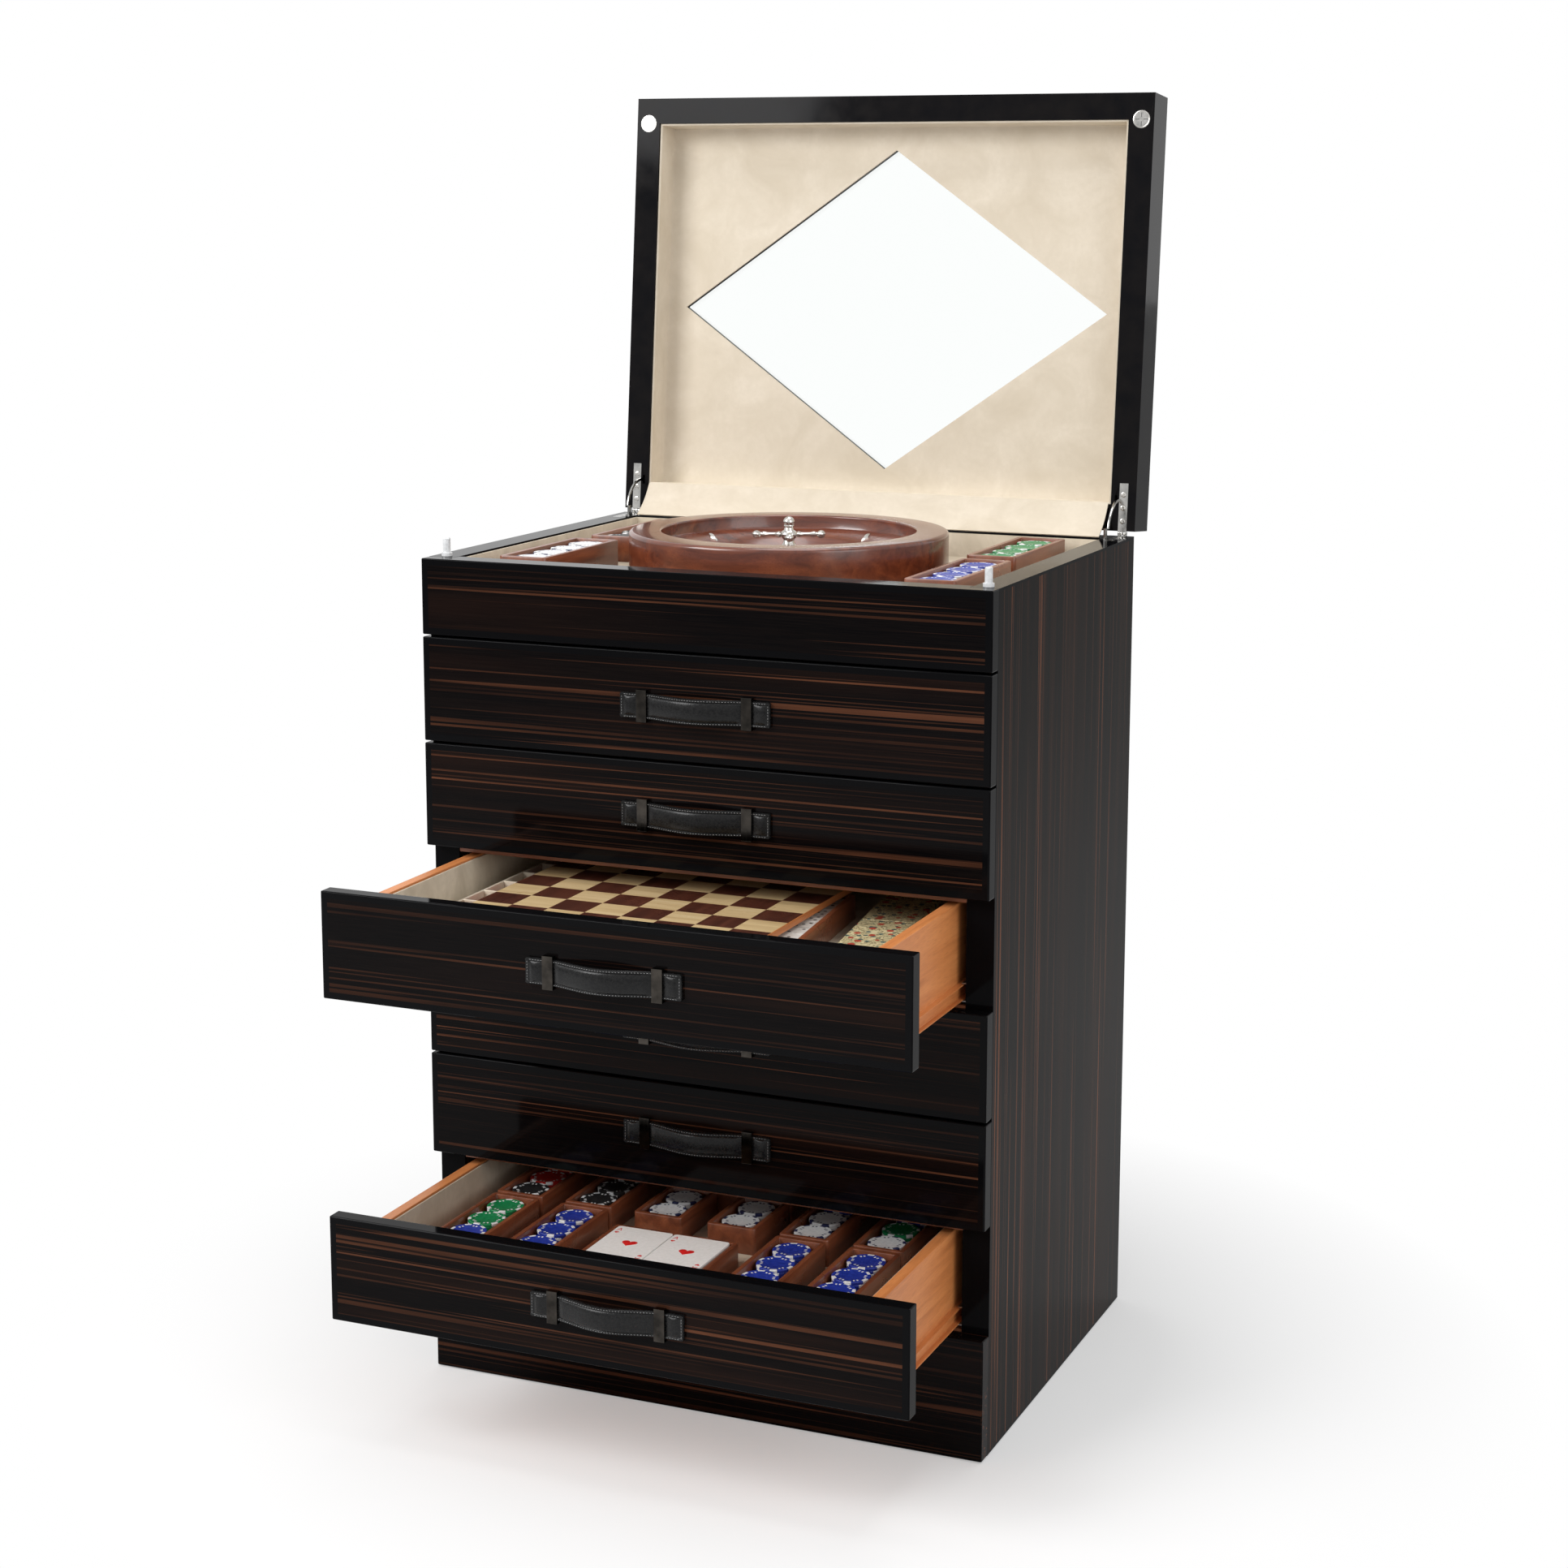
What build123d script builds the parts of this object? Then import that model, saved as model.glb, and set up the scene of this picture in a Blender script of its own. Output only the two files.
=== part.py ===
from build123d import *
import os
from math import asin, atan2, cos, degrees, radians, sin, sqrt

# Six-drawer gaming cabinet with a lift-up glazed lid and a roulette compartment.
# Millimetres, +Z up, front towards -Y, origin at the centre of the case's underside.

# --- case -------------------------------------------------------------------
case_width = 640.0
case_depth = 490.0
plinth_height = 131.0
drawer_count = 6
drawer_pitch = 115.0
apron_height = 81.5
side_thickness = 29.5          # side panels, and the rim and lid frame all round
front_thickness = 18.0         # overlay fronts, apron and plinth
front_gap = 2.5                # shadow line below each front
close_gap = 0.6                # between a closed drawer front and the case
back_thickness = 12.0
base_thickness = 16.0
divider_thickness = 8.0
deck_thickness = 15.0
edge_bevel = 0.8
lining_thickness = 2.5

case_front = -case_depth / 2
case_back = case_depth / 2
carcase_front = case_front + front_thickness
inner_half = case_width / 2 - side_thickness
drawers_top = plinth_height + drawer_count * drawer_pitch
case_top = drawers_top + front_gap + apron_height
panel_front = case_back - back_thickness
rim_front = case_front + side_thickness
rim_back = case_back - side_thickness

# --- top compartment ----------------------------------------------------------
compartment_depth = 30.0       # rim down to the lined floor
compartment_floor = case_top - compartment_depth

# --- drawers ------------------------------------------------------------------
open_drawers = (3, 6)
open_by = 214.0                # how far the two open drawers stand out
box_side_gap = 10.5            # between a drawer box and the side panel
box_back_gap = 9.0             # between a closed drawer box and the back panel
box_wall = 12.0
box_below_front = 8.0          # top of the box under the top of its front
box_above_front = 1.5          # bottom of the box over the bottom of its front
box_bottom = 6.0
box_bottom_inset = 10.0
box_inside_depth = 48.5        # top of the box down to the lined floor
ledger = 10.0
floor_board = 4.0
lining_below_rim = 2.0

box_half = inner_half - box_side_gap
box_inner_half = box_half - box_wall
front_back_face = carcase_front - close_gap
box_back = panel_front - box_back_gap
box_back_inner = box_back - box_wall

# --- drawer slides --------------------------------------------------------------
slide_height = 20.0
slide_sheet = 1.2
slide_length = 400.0
slide_setback = 4.0
slide_play = 0.5
channel_depth = 6.0
rail_depth = 7.0
slide_lift = 1.0               # bottom of the slide over the bottom of the box

# --- strap handles ----------------------------------------------------------------
strap_length = 169.0
strap_width = 26.5
strap_thickness = 4.0
strap_bow = 17.0
strap_steps = 16
loop_spacing = 118.5
loop_width = 11.5
loop_height = 34.0
loop_sheet = 1.8
loop_play = 0.6

# --- lid and hinges ---------------------------------------------------------------
lid_depth = 52.0
lid_recess = 40.0
lid_open_angle = 95.3
rim_gap = 0.6                  # between the rims when the lid is closed
pivot_behind = 2.5             # hinge axis behind the case back
pivot_above = 2.5              # and above the rim
window_side_margin = 26.0      # panel left beside the diamond's side corners
window_end_margin = 29.0       # and beyond its top and bottom corners
glass_thickness = 4.0
glass_lap = 8.0
glass_play = 0.5
glass_inset = 1.0
leaf_width = 10.0
leaf_length = 54.0
leaf_thickness = 2.0
leaf_play = 0.1
barrel_radius = 2.3
knuckle_gap = 0.3
knuckle_root = 1.0             # how far a knuckle block laps onto its leaf
stay_radius = 37.5
stay_width = 3.0
stay_sheet = 2.0
stay_weld = 0.4                # overlap of the stay and its leaf
stay_span = 82.0
stay_root = 3.0                # how far the stay is let into the lid, in degrees
stay_play = 0.6
stay_margin = 2.0              # slot beyond the stay's travel, in degrees
guide_height = 12.0            # tab on the rim that steadies the stay
guide_length = 8.0
guide_foot = 5.0
strike_radius = 10.0
strike_thickness = 2.5
gusset_thickness = 1.6
gusset_sag = 3.0

# --- damper plungers ----------------------------------------------------------------
plunger_pin_radius = 4.0
plunger_pin_height = 16.0
plunger_collar_radius = 5.75
plunger_collar_height = 3.5
plunger_stem = 22.0
plunger_well = 46.0            # depth of the hole that a plunger sinks into
plunger_play = 0.3

# --- roulette wheel -----------------------------------------------------------------
bowl_radius = 175.0
bowl_height = 49.5
bowl_rim_width = 35.5
bowl_rounding = 7.0
bowl_floor = 6.0
track_depth = 15.0
track_width = 4.0
slope_width = 38.0
slope_foot = 17.0              # foot of the slope over the compartment floor
rotor_play = 0.6
spindle_radius = 6.0
spindle_play = 0.05
pocket_count = 37
pocket_margin = 12.0           # rotor edge to the pockets
pocket_length = 18.0
pocket_depth = 5.0
pocket_level = 10.0            # pocket floor over the compartment floor
fret_thickness = 1.1
neck = 6.0                     # where the arms start in the column
ring_sheet = 1.0
cone_radius = 16.0
cone_level = 26.0              # top of the cone over the compartment floor
turret_height = 38.0
turret_arm = 40.0
turret_turn = 24.0             # how far the arms are turned from the X axis, in degrees
arm_level = 18.0               # the arms' axis over the foot of the turret
deflector_count = 8
deflector_size = 7.0

# --- contents -----------------------------------------------------------------------
tray_length = 178.0
tray_width = 56.0
tray_height = 29.0
tray_wall = 5.5
tray_floor = 3.0
tray_cove = 2.5
chip_radius = 20.0
chip_pitch = 41.5
stacks_in_tray = 4
chips_below_rim = 2.5
chip_sides = 16
deck_width = 63.0
deck_length = 88.0
deck_gap = 1.5
deck_play = 1.4
row_margin = 1.5
row_gap = 4.0
column_margin = 29.5
front_deck_setback = 36.0
square = 41.5
board_thickness = 7.0
pack_width = 60.0
pack_length = 116.0
pack_thickness = 19.0
domino_box_width = 66.0
domino_box_length = 222.0
domino_wall = 6.0
domino_width = 25.0
domino_length = 50.0
domino_thickness = 10.0
domino_gap = 1.5
domino_turn = 5.9              # degrees
domino_inset = 148.5           # centre of the domino box from the drawer's side
domino_reach = 180.0           # and from its front
pack_turn = 7.5
pack_inset = 64.5
pack_reach = 229.0
board_inset = 300.0
board_reach = 4.0
side_bay = 33.5                # lined bay along the drawer's left side
rib_height = 26.5
rib_count = 9
rib_start = 26.0
rib_pitch = 44.0
rib_reach = 60.0
checker_radius = 14.0
checker_height = 9.0
checker_inset = 20.0

os.makedirs("parts", exist_ok=True)


def save(piece, name):
    piece.label = name
    export_step(piece, f"parts/{name}.step")


def slab(x0, x1, y0, y1, z0, z1, mode=Mode.ADD):
    """A board between two corners, added to the open part."""
    with Locations(((x0 + x1) / 2, (y0 + y1) / 2, (z0 + z1) / 2)):
        Box(abs(x1 - x0), abs(y1 - y0), abs(z1 - z0), mode=mode)


def facing(y):
    """The plane at y that looks to the front, with X across and Z up."""
    return Plane(origin=(0, y, 0), x_dir=(1, 0, 0), z_dir=(0, -1, 0))


# ============================ case ============================================
hinge_x = case_width / 2 - side_thickness / 2
hinge_y = case_back + pivot_behind
hinge_z = case_top + pivot_above
stay_x = hinge_x - leaf_width / 2 - stay_sheet / 2 + stay_weld
guide_x = stay_x - stay_sheet - 2 * stay_play
guide_front = hinge_y - stay_radius - guide_length / 2
foot_front = guide_front - guide_foot
plunger_y = case_front + side_thickness


def side_plane(x):
    """The YZ plane at x, with Y across and Z up."""
    return Plane(origin=(x, 0, 0), x_dir=(0, 1, 0), z_dir=(1, 0, 0))


def ring_sector(x, inner, outer, start, span):
    """An arc strip round the hinge axis; angles rise from the front towards the top."""
    def at(radius, angle):
        return (hinge_y - radius * cos(radians(angle)), hinge_z + radius * sin(radians(angle)))

    with BuildSketch(side_plane(x)) as strip:
        with BuildLine():
            ThreePointArc(at(outer, start), at(outer, start + span / 2), at(outer, start + span))
            Line(at(outer, start + span), at(inner, start + span))
            ThreePointArc(at(inner, start + span), at(inner, start + span / 2), at(inner, start))
            Line(at(inner, start), at(outer, start))
        make_face()
    return strip.sketch


def stay_slot(side):
    """The clearance that the curved stay of one side needs in the rim below it."""
    return ring_sector(side * stay_x - stay_sheet / 2 - stay_play,
                       stay_radius - stay_width / 2 - stay_play,
                       stay_radius + stay_width / 2 + stay_play,
                       -stay_span - stay_margin, stay_span + stay_margin)


with BuildPart() as side_panels:
    for side in (-1, 1):
        outer = side * case_width / 2
        slab(outer - side * side_thickness, outer, carcase_front, case_back, 0, case_top)
    corners = side_panels.edges().filter_by(Axis.Z).group_by(Axis.Y)[-1]
    chamfer(corners, edge_bevel)
    for side in (-1, 1):
        x = side * hinge_x
        slab(x - leaf_width / 2 - leaf_play, x + leaf_width / 2 + leaf_play,
             case_back - leaf_length - leaf_play, case_back,
             case_top - leaf_thickness, case_top, Mode.SUBTRACT)
        extrude(stay_slot(side), amount=stay_sheet + 2 * stay_play, mode=Mode.SUBTRACT)
        slab(side * (guide_x - stay_sheet / 2 - leaf_play), side * (hinge_x - leaf_width / 2),
             foot_front - leaf_play, guide_front + leaf_play, case_top - leaf_thickness,
             case_top, Mode.SUBTRACT)
        slab(side * (guide_x - stay_sheet / 2 - leaf_play),
             side * (guide_x + stay_sheet / 2 + leaf_play), foot_front - leaf_play,
             guide_front + guide_length + leaf_play, case_top - leaf_thickness, case_top,
             Mode.SUBTRACT)
    with Locations(*[(side * hinge_x, plunger_y, case_top) for side in (-1, 1)]):
        Hole(plunger_collar_radius + plunger_play, plunger_well)
save(side_panels.part, "side_panels")

deck_top = compartment_floor - lining_thickness

with BuildPart() as back_panel:
    slab(-inner_half, inner_half, panel_front, case_back, 0, case_top)
    slab(-inner_half, inner_half, rim_back, panel_front, deck_top, case_top)
save(back_panel.part, "back_panel")

with BuildPart() as carcase_boards:
    slab(-inner_half, inner_half, carcase_front, panel_front, 0, base_thickness)
    divider_front = carcase_front + edge_bevel
    for level in range(drawer_count):
        cell_bottom = plinth_height + level * drawer_pitch
        middle = cell_bottom + (front_gap + box_above_front - box_below_front) / 2
        slab(-inner_half, inner_half, divider_front, panel_front,
             middle - divider_thickness / 2, middle + divider_thickness / 2)
    slab(-inner_half, inner_half, carcase_front, panel_front, deck_top - deck_thickness, deck_top)
save(carcase_boards.part, "carcase_boards")


def overlay_board(name, z0, z1, y_back, shift=0.0, rail_depth_behind=0.0):
    """A full-width board on the front, bevelled in front, with a top rail behind the apron."""
    with BuildPart() as board:
        slab(-case_width / 2, case_width / 2, case_front + shift, y_back + shift, z0, z1)
        chamfer(board.faces().sort_by(Axis.Y)[0].edges(), edge_bevel)
        if rail_depth_behind:
            slab(-inner_half, inner_half, y_back, y_back + rail_depth_behind, deck_top, z1)
    save(board.part, name)


overlay_board("apron", drawers_top + front_gap, case_top, carcase_front,
              rail_depth_behind=rim_front - carcase_front)
overlay_board("plinth", 0, plinth_height, carcase_front)

with BuildPart() as compartment_lining:
    slab(-inner_half, inner_half, rim_front, rim_back, compartment_floor - lining_thickness,
         case_top - lining_below_rim)
    slab(-inner_half + lining_thickness, inner_half - lining_thickness,
         rim_front + lining_thickness, rim_back - lining_thickness,
         compartment_floor, case_top, Mode.SUBTRACT)
save(compartment_lining.part, "compartment_lining")


def channel(outer_x, side, depth, height, z0, y0):
    """A C-section slide member, its web on outer_x and its flanges towards side."""
    web = outer_x + side * slide_sheet
    tip = outer_x + side * depth
    slab(outer_x, web, y0, y0 + slide_length, z0, z0 + height)
    slab(web, tip, y0, y0 + slide_length, z0, z0 + slide_sheet)
    slab(web, tip, y0, y0 + slide_length, z0 + height - slide_sheet, z0 + height)


def cell_floor(number):
    """The bottom of a drawer's cell; drawer 1 is the top one."""
    return plinth_height + (drawer_count - number) * drawer_pitch


def box_floor(number):
    return cell_floor(number) + front_gap + box_above_front


with BuildPart() as slide_channels:
    for number in range(1, drawer_count + 1):
        for side in (-1, 1):
            channel(side * inner_half, -side, channel_depth, slide_height,
                    box_floor(number) + slide_lift, carcase_front + slide_setback)
save(slide_channels.part, "slide_channels")


# ============================ hinges ==========================================
knuckle = leaf_width / 3 - knuckle_gap

with BuildPart() as rim_fittings:
    for side in (-1, 1):
        x = side * hinge_x
        slab(x - leaf_width / 2, x + leaf_width / 2, case_back - leaf_length, case_back,
             case_top - leaf_thickness, case_top)
        extrude(stay_slot(side), amount=stay_sheet + 2 * stay_play, mode=Mode.SUBTRACT)
        for end in (-1, 1):
            centre = x + end * (leaf_width - knuckle) / 2
            slab(centre - knuckle / 2, centre + knuckle / 2, case_back - knuckle_root,
                 hinge_y + barrel_radius * 0.7, case_top - leaf_thickness, case_top)
            slab(centre - knuckle / 2, centre + knuckle / 2, case_back + knuckle_gap,
                 hinge_y + barrel_radius * 0.7, case_top - leaf_thickness,
                 hinge_z - barrel_radius * 0.7)
            with BuildSketch(side_plane(centre - knuckle / 2)):
                with Locations((hinge_y, hinge_z)):
                    Circle(barrel_radius)
            extrude(amount=knuckle)
        slab(side * (guide_x - stay_sheet / 2), side * (hinge_x - leaf_width / 2), foot_front,
             guide_front - stay_play, case_top - leaf_thickness, case_top)
        slab(side * (guide_x - stay_sheet / 2), side * (guide_x + stay_sheet / 2), foot_front,
             guide_front + guide_length, case_top - leaf_thickness, case_top)
        slab(side * (guide_x - stay_sheet / 2), side * (guide_x + stay_sheet / 2), guide_front,
             guide_front + guide_length, case_top, case_top + guide_height)
save(rim_fittings.part, "rim_fittings")


# ============================ lid =============================================
# The lid is drawn on its own rim plane: x across, y from the hinge edge to the free
# edge, and depths into the lid measured away from the viewer.
open_cos = cos(radians(lid_open_angle))
open_sin = sin(radians(lid_open_angle))


def swung(y_ahead, z_up):
    """Where a point of the closed lid, measured from the case's top back edge, stands."""
    y = y_ahead - pivot_behind
    z = z_up - pivot_above
    return (hinge_y + y * open_cos + z * open_sin, hinge_z - y * open_sin + z * open_cos)


def lid_plane(depth):
    y, z = swung(0, rim_gap + depth)
    return Plane(origin=(0, y, z), x_dir=(1, 0, 0), z_dir=(0, -open_sin, -open_cos))


window_half_width = inner_half - window_side_margin
window_half_height = case_depth / 2 - side_thickness - window_end_margin


def diamond(depth, extra=0.0):
    """The window's outline at a depth in the lid, grown by extra."""
    slope = sqrt(window_half_width ** 2 + window_half_height ** 2)
    half_w = window_half_width + extra * slope / window_half_height
    half_h = window_half_height + extra * slope / window_half_width
    middle = case_depth / 2
    with BuildSketch(lid_plane(depth)) as outline:
        with BuildLine():
            Polyline((0, middle + half_h), (half_w, middle), (0, middle - half_h),
                     (-half_w, middle), close=True)
        make_face()
    return outline.sketch


stay_pocket = (pivot_above - rim_gap + stay_play
               + (stay_radius + stay_width / 2) * sin(radians(stay_root)))

with BuildPart() as lid_frame:
    with BuildSketch(lid_plane(0)):
        with Locations((0, case_depth / 2)):
            Rectangle(case_width, case_depth)
            Rectangle(2 * inner_half, case_depth - 2 * side_thickness, mode=Mode.SUBTRACT)
    extrude(amount=-lid_depth)
    chamfer(lid_frame.faces().sort_by(Axis.Y)[-1].outer_wire().edges(), edge_bevel)
    for side in (-1, 1):
        with BuildSketch(lid_plane(0)):
            with Locations((side * hinge_x, leaf_length / 2)):
                Rectangle(leaf_width + 2 * leaf_play, leaf_length + 2 * leaf_play)
        extrude(amount=-leaf_thickness, mode=Mode.SUBTRACT)
        with BuildSketch(lid_plane(0)):
            with Locations((side * guide_x, stay_radius - pivot_behind)):
                Rectangle(stay_sheet + 2 * stay_play, guide_length + 4 * stay_play)
        extrude(amount=-guide_height - 2 * stay_play, mode=Mode.SUBTRACT)
        with BuildSketch(lid_plane(0)):
            with Locations((side * hinge_x, case_depth - side_thickness)):
                Circle(strike_radius)
        extrude(amount=-strike_thickness, mode=Mode.SUBTRACT)
        with BuildSketch(lid_plane(0)):
            with Locations((side * stay_x, stay_radius - pivot_behind)):
                Rectangle(stay_sheet + 2 * stay_play, stay_width + 2 * stay_play)
        extrude(amount=-stay_pocket, mode=Mode.SUBTRACT)
save(lid_frame.part, "lid_frame")

glass_top = lid_depth - glass_thickness - glass_inset

with BuildPart() as lid_panel:
    with BuildSketch(lid_plane(lid_recess)):
        with Locations((0, case_depth / 2)):
            Rectangle(2 * inner_half, case_depth - 2 * side_thickness)
    extrude(amount=-(lid_depth - lid_recess))
    extrude(diamond(lid_recess), amount=-(lid_depth - lid_recess), mode=Mode.SUBTRACT)
    extrude(diamond(glass_top, glass_lap + glass_play), amount=-(lid_depth - glass_top),
            mode=Mode.SUBTRACT)
save(lid_panel.part, "lid_panel")

with BuildPart() as lid_glass:
    extrude(diamond(glass_top, glass_lap), amount=-glass_thickness)
save(lid_glass.part, "lid_glass")

with BuildPart() as lid_lining:
    with BuildSketch(lid_plane(lining_below_rim)):
        with Locations((0, case_depth / 2)):
            Rectangle(2 * inner_half, case_depth - 2 * side_thickness)
            Rectangle(2 * (inner_half - lining_thickness),
                      case_depth - 2 * (side_thickness + lining_thickness), mode=Mode.SUBTRACT)
    extrude(amount=-(lid_recess - lining_below_rim))
    with BuildSketch(lid_plane(lid_recess - lining_thickness)):
        with Locations((0, case_depth / 2)):
            Rectangle(2 * (inner_half - lining_thickness),
                      case_depth - 2 * (side_thickness + lining_thickness))
    extrude(amount=-lining_thickness)
    extrude(diamond(lid_recess - lining_thickness), amount=-lining_thickness, mode=Mode.SUBTRACT)
save(lid_lining.part, "lid_lining")

with BuildPart() as lid_hinge_leaves:
    for side in (-1, 1):
        with BuildSketch(lid_plane(0)):
            with Locations((side * hinge_x, leaf_length / 2)):
                Rectangle(leaf_width, leaf_length)
        extrude(amount=-leaf_thickness)
        with BuildSketch(lid_plane(0)):
            with Locations((side * hinge_x, -pivot_behind / 2)):
                Rectangle(knuckle, pivot_behind + 2 * knuckle_gap)
        extrude(amount=-leaf_thickness)
        with BuildSketch(side_plane(side * hinge_x - knuckle / 2)):
            with Locations((hinge_y, hinge_z)):
                Circle(barrel_radius)
        extrude(amount=knuckle)
        stay = ring_sector(side * stay_x - stay_sheet / 2, stay_radius - stay_width / 2,
                           stay_radius + stay_width / 2, lid_open_angle - stay_span,
                           stay_span + stay_root)
        extrude(stay, amount=stay_sheet)
save(lid_hinge_leaves.part, "lid_hinge_leaves")

with BuildPart() as strike_discs:
    with BuildSketch(lid_plane(0)):
        with Locations(*[(side * hinge_x, case_depth - side_thickness) for side in (-1, 1)]):
            Circle(strike_radius)
    extrude(amount=-strike_thickness)
save(strike_discs.part, "strike_discs")

# A suede gusset closes the gap between the lid's rear rail and the case's back rail.
gusset_top = swung(-side_thickness - gusset_thickness, rim_gap - gusset_thickness)
gusset_foot = (rim_back - gusset_thickness, case_top + gusset_thickness / 2)
gusset_slope = atan2(gusset_top[1] - gusset_foot[1], gusset_top[0] - gusset_foot[0])


def gusset_point(share, lift):
    """A point on the strip: share runs from foot to top, lift stands off its chord."""
    y = gusset_foot[0] + share * (gusset_top[0] - gusset_foot[0])
    z = gusset_foot[1] + share * (gusset_top[1] - gusset_foot[1])
    return (y - lift * sin(gusset_slope), z + lift * cos(gusset_slope))


with BuildPart() as hinge_gusset:
    gusset_half = inner_half - lining_thickness
    with BuildSketch(side_plane(-gusset_half)):
        with BuildLine():
            ThreePointArc(gusset_point(0, 0), gusset_point(0.5, gusset_sag), gusset_point(1, 0))
            Line(gusset_point(1, 0), gusset_point(1, gusset_thickness))
            ThreePointArc(gusset_point(1, gusset_thickness),
                          gusset_point(0.5, gusset_sag + gusset_thickness),
                          gusset_point(0, gusset_thickness))
            Line(gusset_point(0, gusset_thickness), gusset_point(0, 0))
        make_face()
    extrude(amount=2 * gusset_half)
save(hinge_gusset.part, "hinge_gusset")


# ============================ damper plungers =================================
def plunger(name, side):
    with BuildPart() as pin:
        with BuildSketch(Plane(origin=(side * hinge_x, plunger_y, case_top), x_dir=(1, 0, 0),
                               z_dir=(0, -1, 0))):
            with BuildLine():
                Polyline((0, -plunger_stem), (plunger_collar_radius, -plunger_stem),
                         (plunger_collar_radius, plunger_collar_height),
                         (plunger_pin_radius, plunger_collar_height),
                         (plunger_pin_radius, plunger_collar_height + plunger_pin_height - 1),
                         (plunger_pin_radius - 1, plunger_collar_height + plunger_pin_height),
                         (0, plunger_collar_height + plunger_pin_height), close=True)
            make_face()
        revolve(axis=Axis((side * hinge_x, plunger_y, 0), (0, 0, 1)))
    save(pin.part, name)


plunger("plunger_left", -1)
plunger("plunger_right", 1)


# ============================ roulette wheel ==================================
base = compartment_floor
bowl_top = base + bowl_height
bowl_opening = bowl_radius - bowl_rim_width
track_floor = bowl_top - track_depth
rotor_radius = bowl_opening - slope_width
well_radius = rotor_radius + rotor_play
well_top = base + slope_foot
spindle_below_cone = 4.0
bowl_lip = 3.0
spindle_top = base + cone_level - spindle_below_cone


def rounded(x, z, size, steps=2):
    """Points of a quarter-round corner, from the side up to the top."""
    angles = [90 * k / steps for k in range(steps + 1)]
    return [(x - size + size * cos(radians(a)), z - size + size * sin(radians(a))) for a in angles]


with BuildPart() as roulette_bowl:
    with BuildSketch(facing(0)):
        with BuildLine():
            Polyline((0, base), (bowl_radius, base),
                     *rounded(bowl_radius, bowl_top, bowl_rounding),
                     (bowl_opening + bowl_lip, bowl_top), (bowl_opening, bowl_top - bowl_lip),
                     (bowl_opening + 1, track_floor + bowl_lip), (bowl_opening - 1, track_floor),
                     (bowl_opening - track_width, track_floor), (well_radius, well_top),
                     (well_radius, base + bowl_floor), (spindle_radius, base + bowl_floor),
                     (spindle_radius, spindle_top), (0, spindle_top), close=True)
        make_face()
    revolve(axis=Axis.Z)
    deflector_at = (bowl_opening - track_width + well_radius) / 2
    deflector_foot = (track_floor + well_top) / 2 - 1
    for turn in range(deflector_count):
        angle = radians(360 / deflector_count * (turn + 0.5))
        stud = Plane(origin=(deflector_at * cos(angle), deflector_at * sin(angle), deflector_foot),
                     x_dir=(cos(angle), sin(angle), 0), z_dir=(0, 0, 1))
        with BuildSketch(stud):
            RegularPolygon(deflector_size, 4)
        extrude(amount=deflector_size * 0.7, taper=35)
save(roulette_bowl.part, "roulette_bowl")

pocket_floor = base + pocket_level
pocket_outer = rotor_radius - pocket_margin
pocket_inner = pocket_outer - pocket_length
lip = pocket_floor + pocket_depth
cone_top = base + cone_level
cone_bore = spindle_radius + spindle_play


def cone_point(share):
    """A point on the rotor's dished cone, from the pockets up to the turret."""
    radius = pocket_inner + share * (cone_radius - pocket_inner)
    return (radius, lip + share ** 1.5 * (cone_top - lip))


with BuildPart() as roulette_rotor:
    with BuildSketch(facing(0)):
        with BuildLine():
            Polyline((cone_bore, base + bowl_floor + rotor_play),
                     (rotor_radius, base + bowl_floor + rotor_play), (rotor_radius, lip + 2),
                     (rotor_radius - 3, lip + 2), (pocket_outer, lip - 1),
                     (pocket_outer, pocket_floor), (pocket_inner, pocket_floor),
                     *[cone_point(k / 2) for k in range(3)], (cone_bore, cone_top), close=True)
        make_face()
    revolve(axis=Axis.Z)
save(roulette_rotor.part, "roulette_rotor")

with BuildPart() as roulette_fret_ring:
    with BuildSketch(Plane.XY.offset(pocket_floor)):
        Circle(pocket_outer)
        Circle(pocket_inner, mode=Mode.SUBTRACT)
    extrude(amount=ring_sheet)
    with BuildSketch(Plane.XY.offset(pocket_floor)):
        with PolarLocations((pocket_inner + pocket_outer) / 2, pocket_count):
            Rectangle(pocket_outer - pocket_inner - 1, fret_thickness)
    extrude(amount=pocket_depth - rotor_play)
save(roulette_fret_ring.part, "roulette_fret_ring")

# The turret: a turned column, as (radius, height) pairs, and four lobed arms.
column = [(15, 0), (15, 2), (7, 5), (4, 11), (7, 14), (9.5, 18), (7, 22), (3.5, 25), (3.5, 28),
          (5.5, 31), (5.5, 34), (3.5, 37)]
arm_lobes = [(0.0, 2.4), (0.35, 2.0), (0.55, 3.6), (0.72, 2.0), (0.86, 4.4), (1.0, 1.6)]

with BuildPart() as roulette_turret:
    with BuildSketch(facing(0)):
        with BuildLine():
            Polyline((0, cone_top), *[(r, cone_top + h) for r, h in column],
                     (0, cone_top + turret_height), close=True)
        make_face()
    revolve(axis=Axis.Z)
    arm_z = cone_top + arm_level
    with BuildSketch(facing(0)) as half_arm:
        with BuildLine():
            Polyline((neck, arm_z), *[(neck + share * (turret_arm - neck), arm_z + radius)
                                      for share, radius in arm_lobes],
                     (turret_arm, arm_z), close=True)
        make_face()
    arm = revolve(half_arm.sketch, axis=Axis((0, 0, arm_z), (1, 0, 0)), mode=Mode.PRIVATE)
    for turn in range(4):
        add(arm.rotate(Axis.Z, 90 * turn + turret_turn))
save(roulette_turret.part, "roulette_turret")


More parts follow.
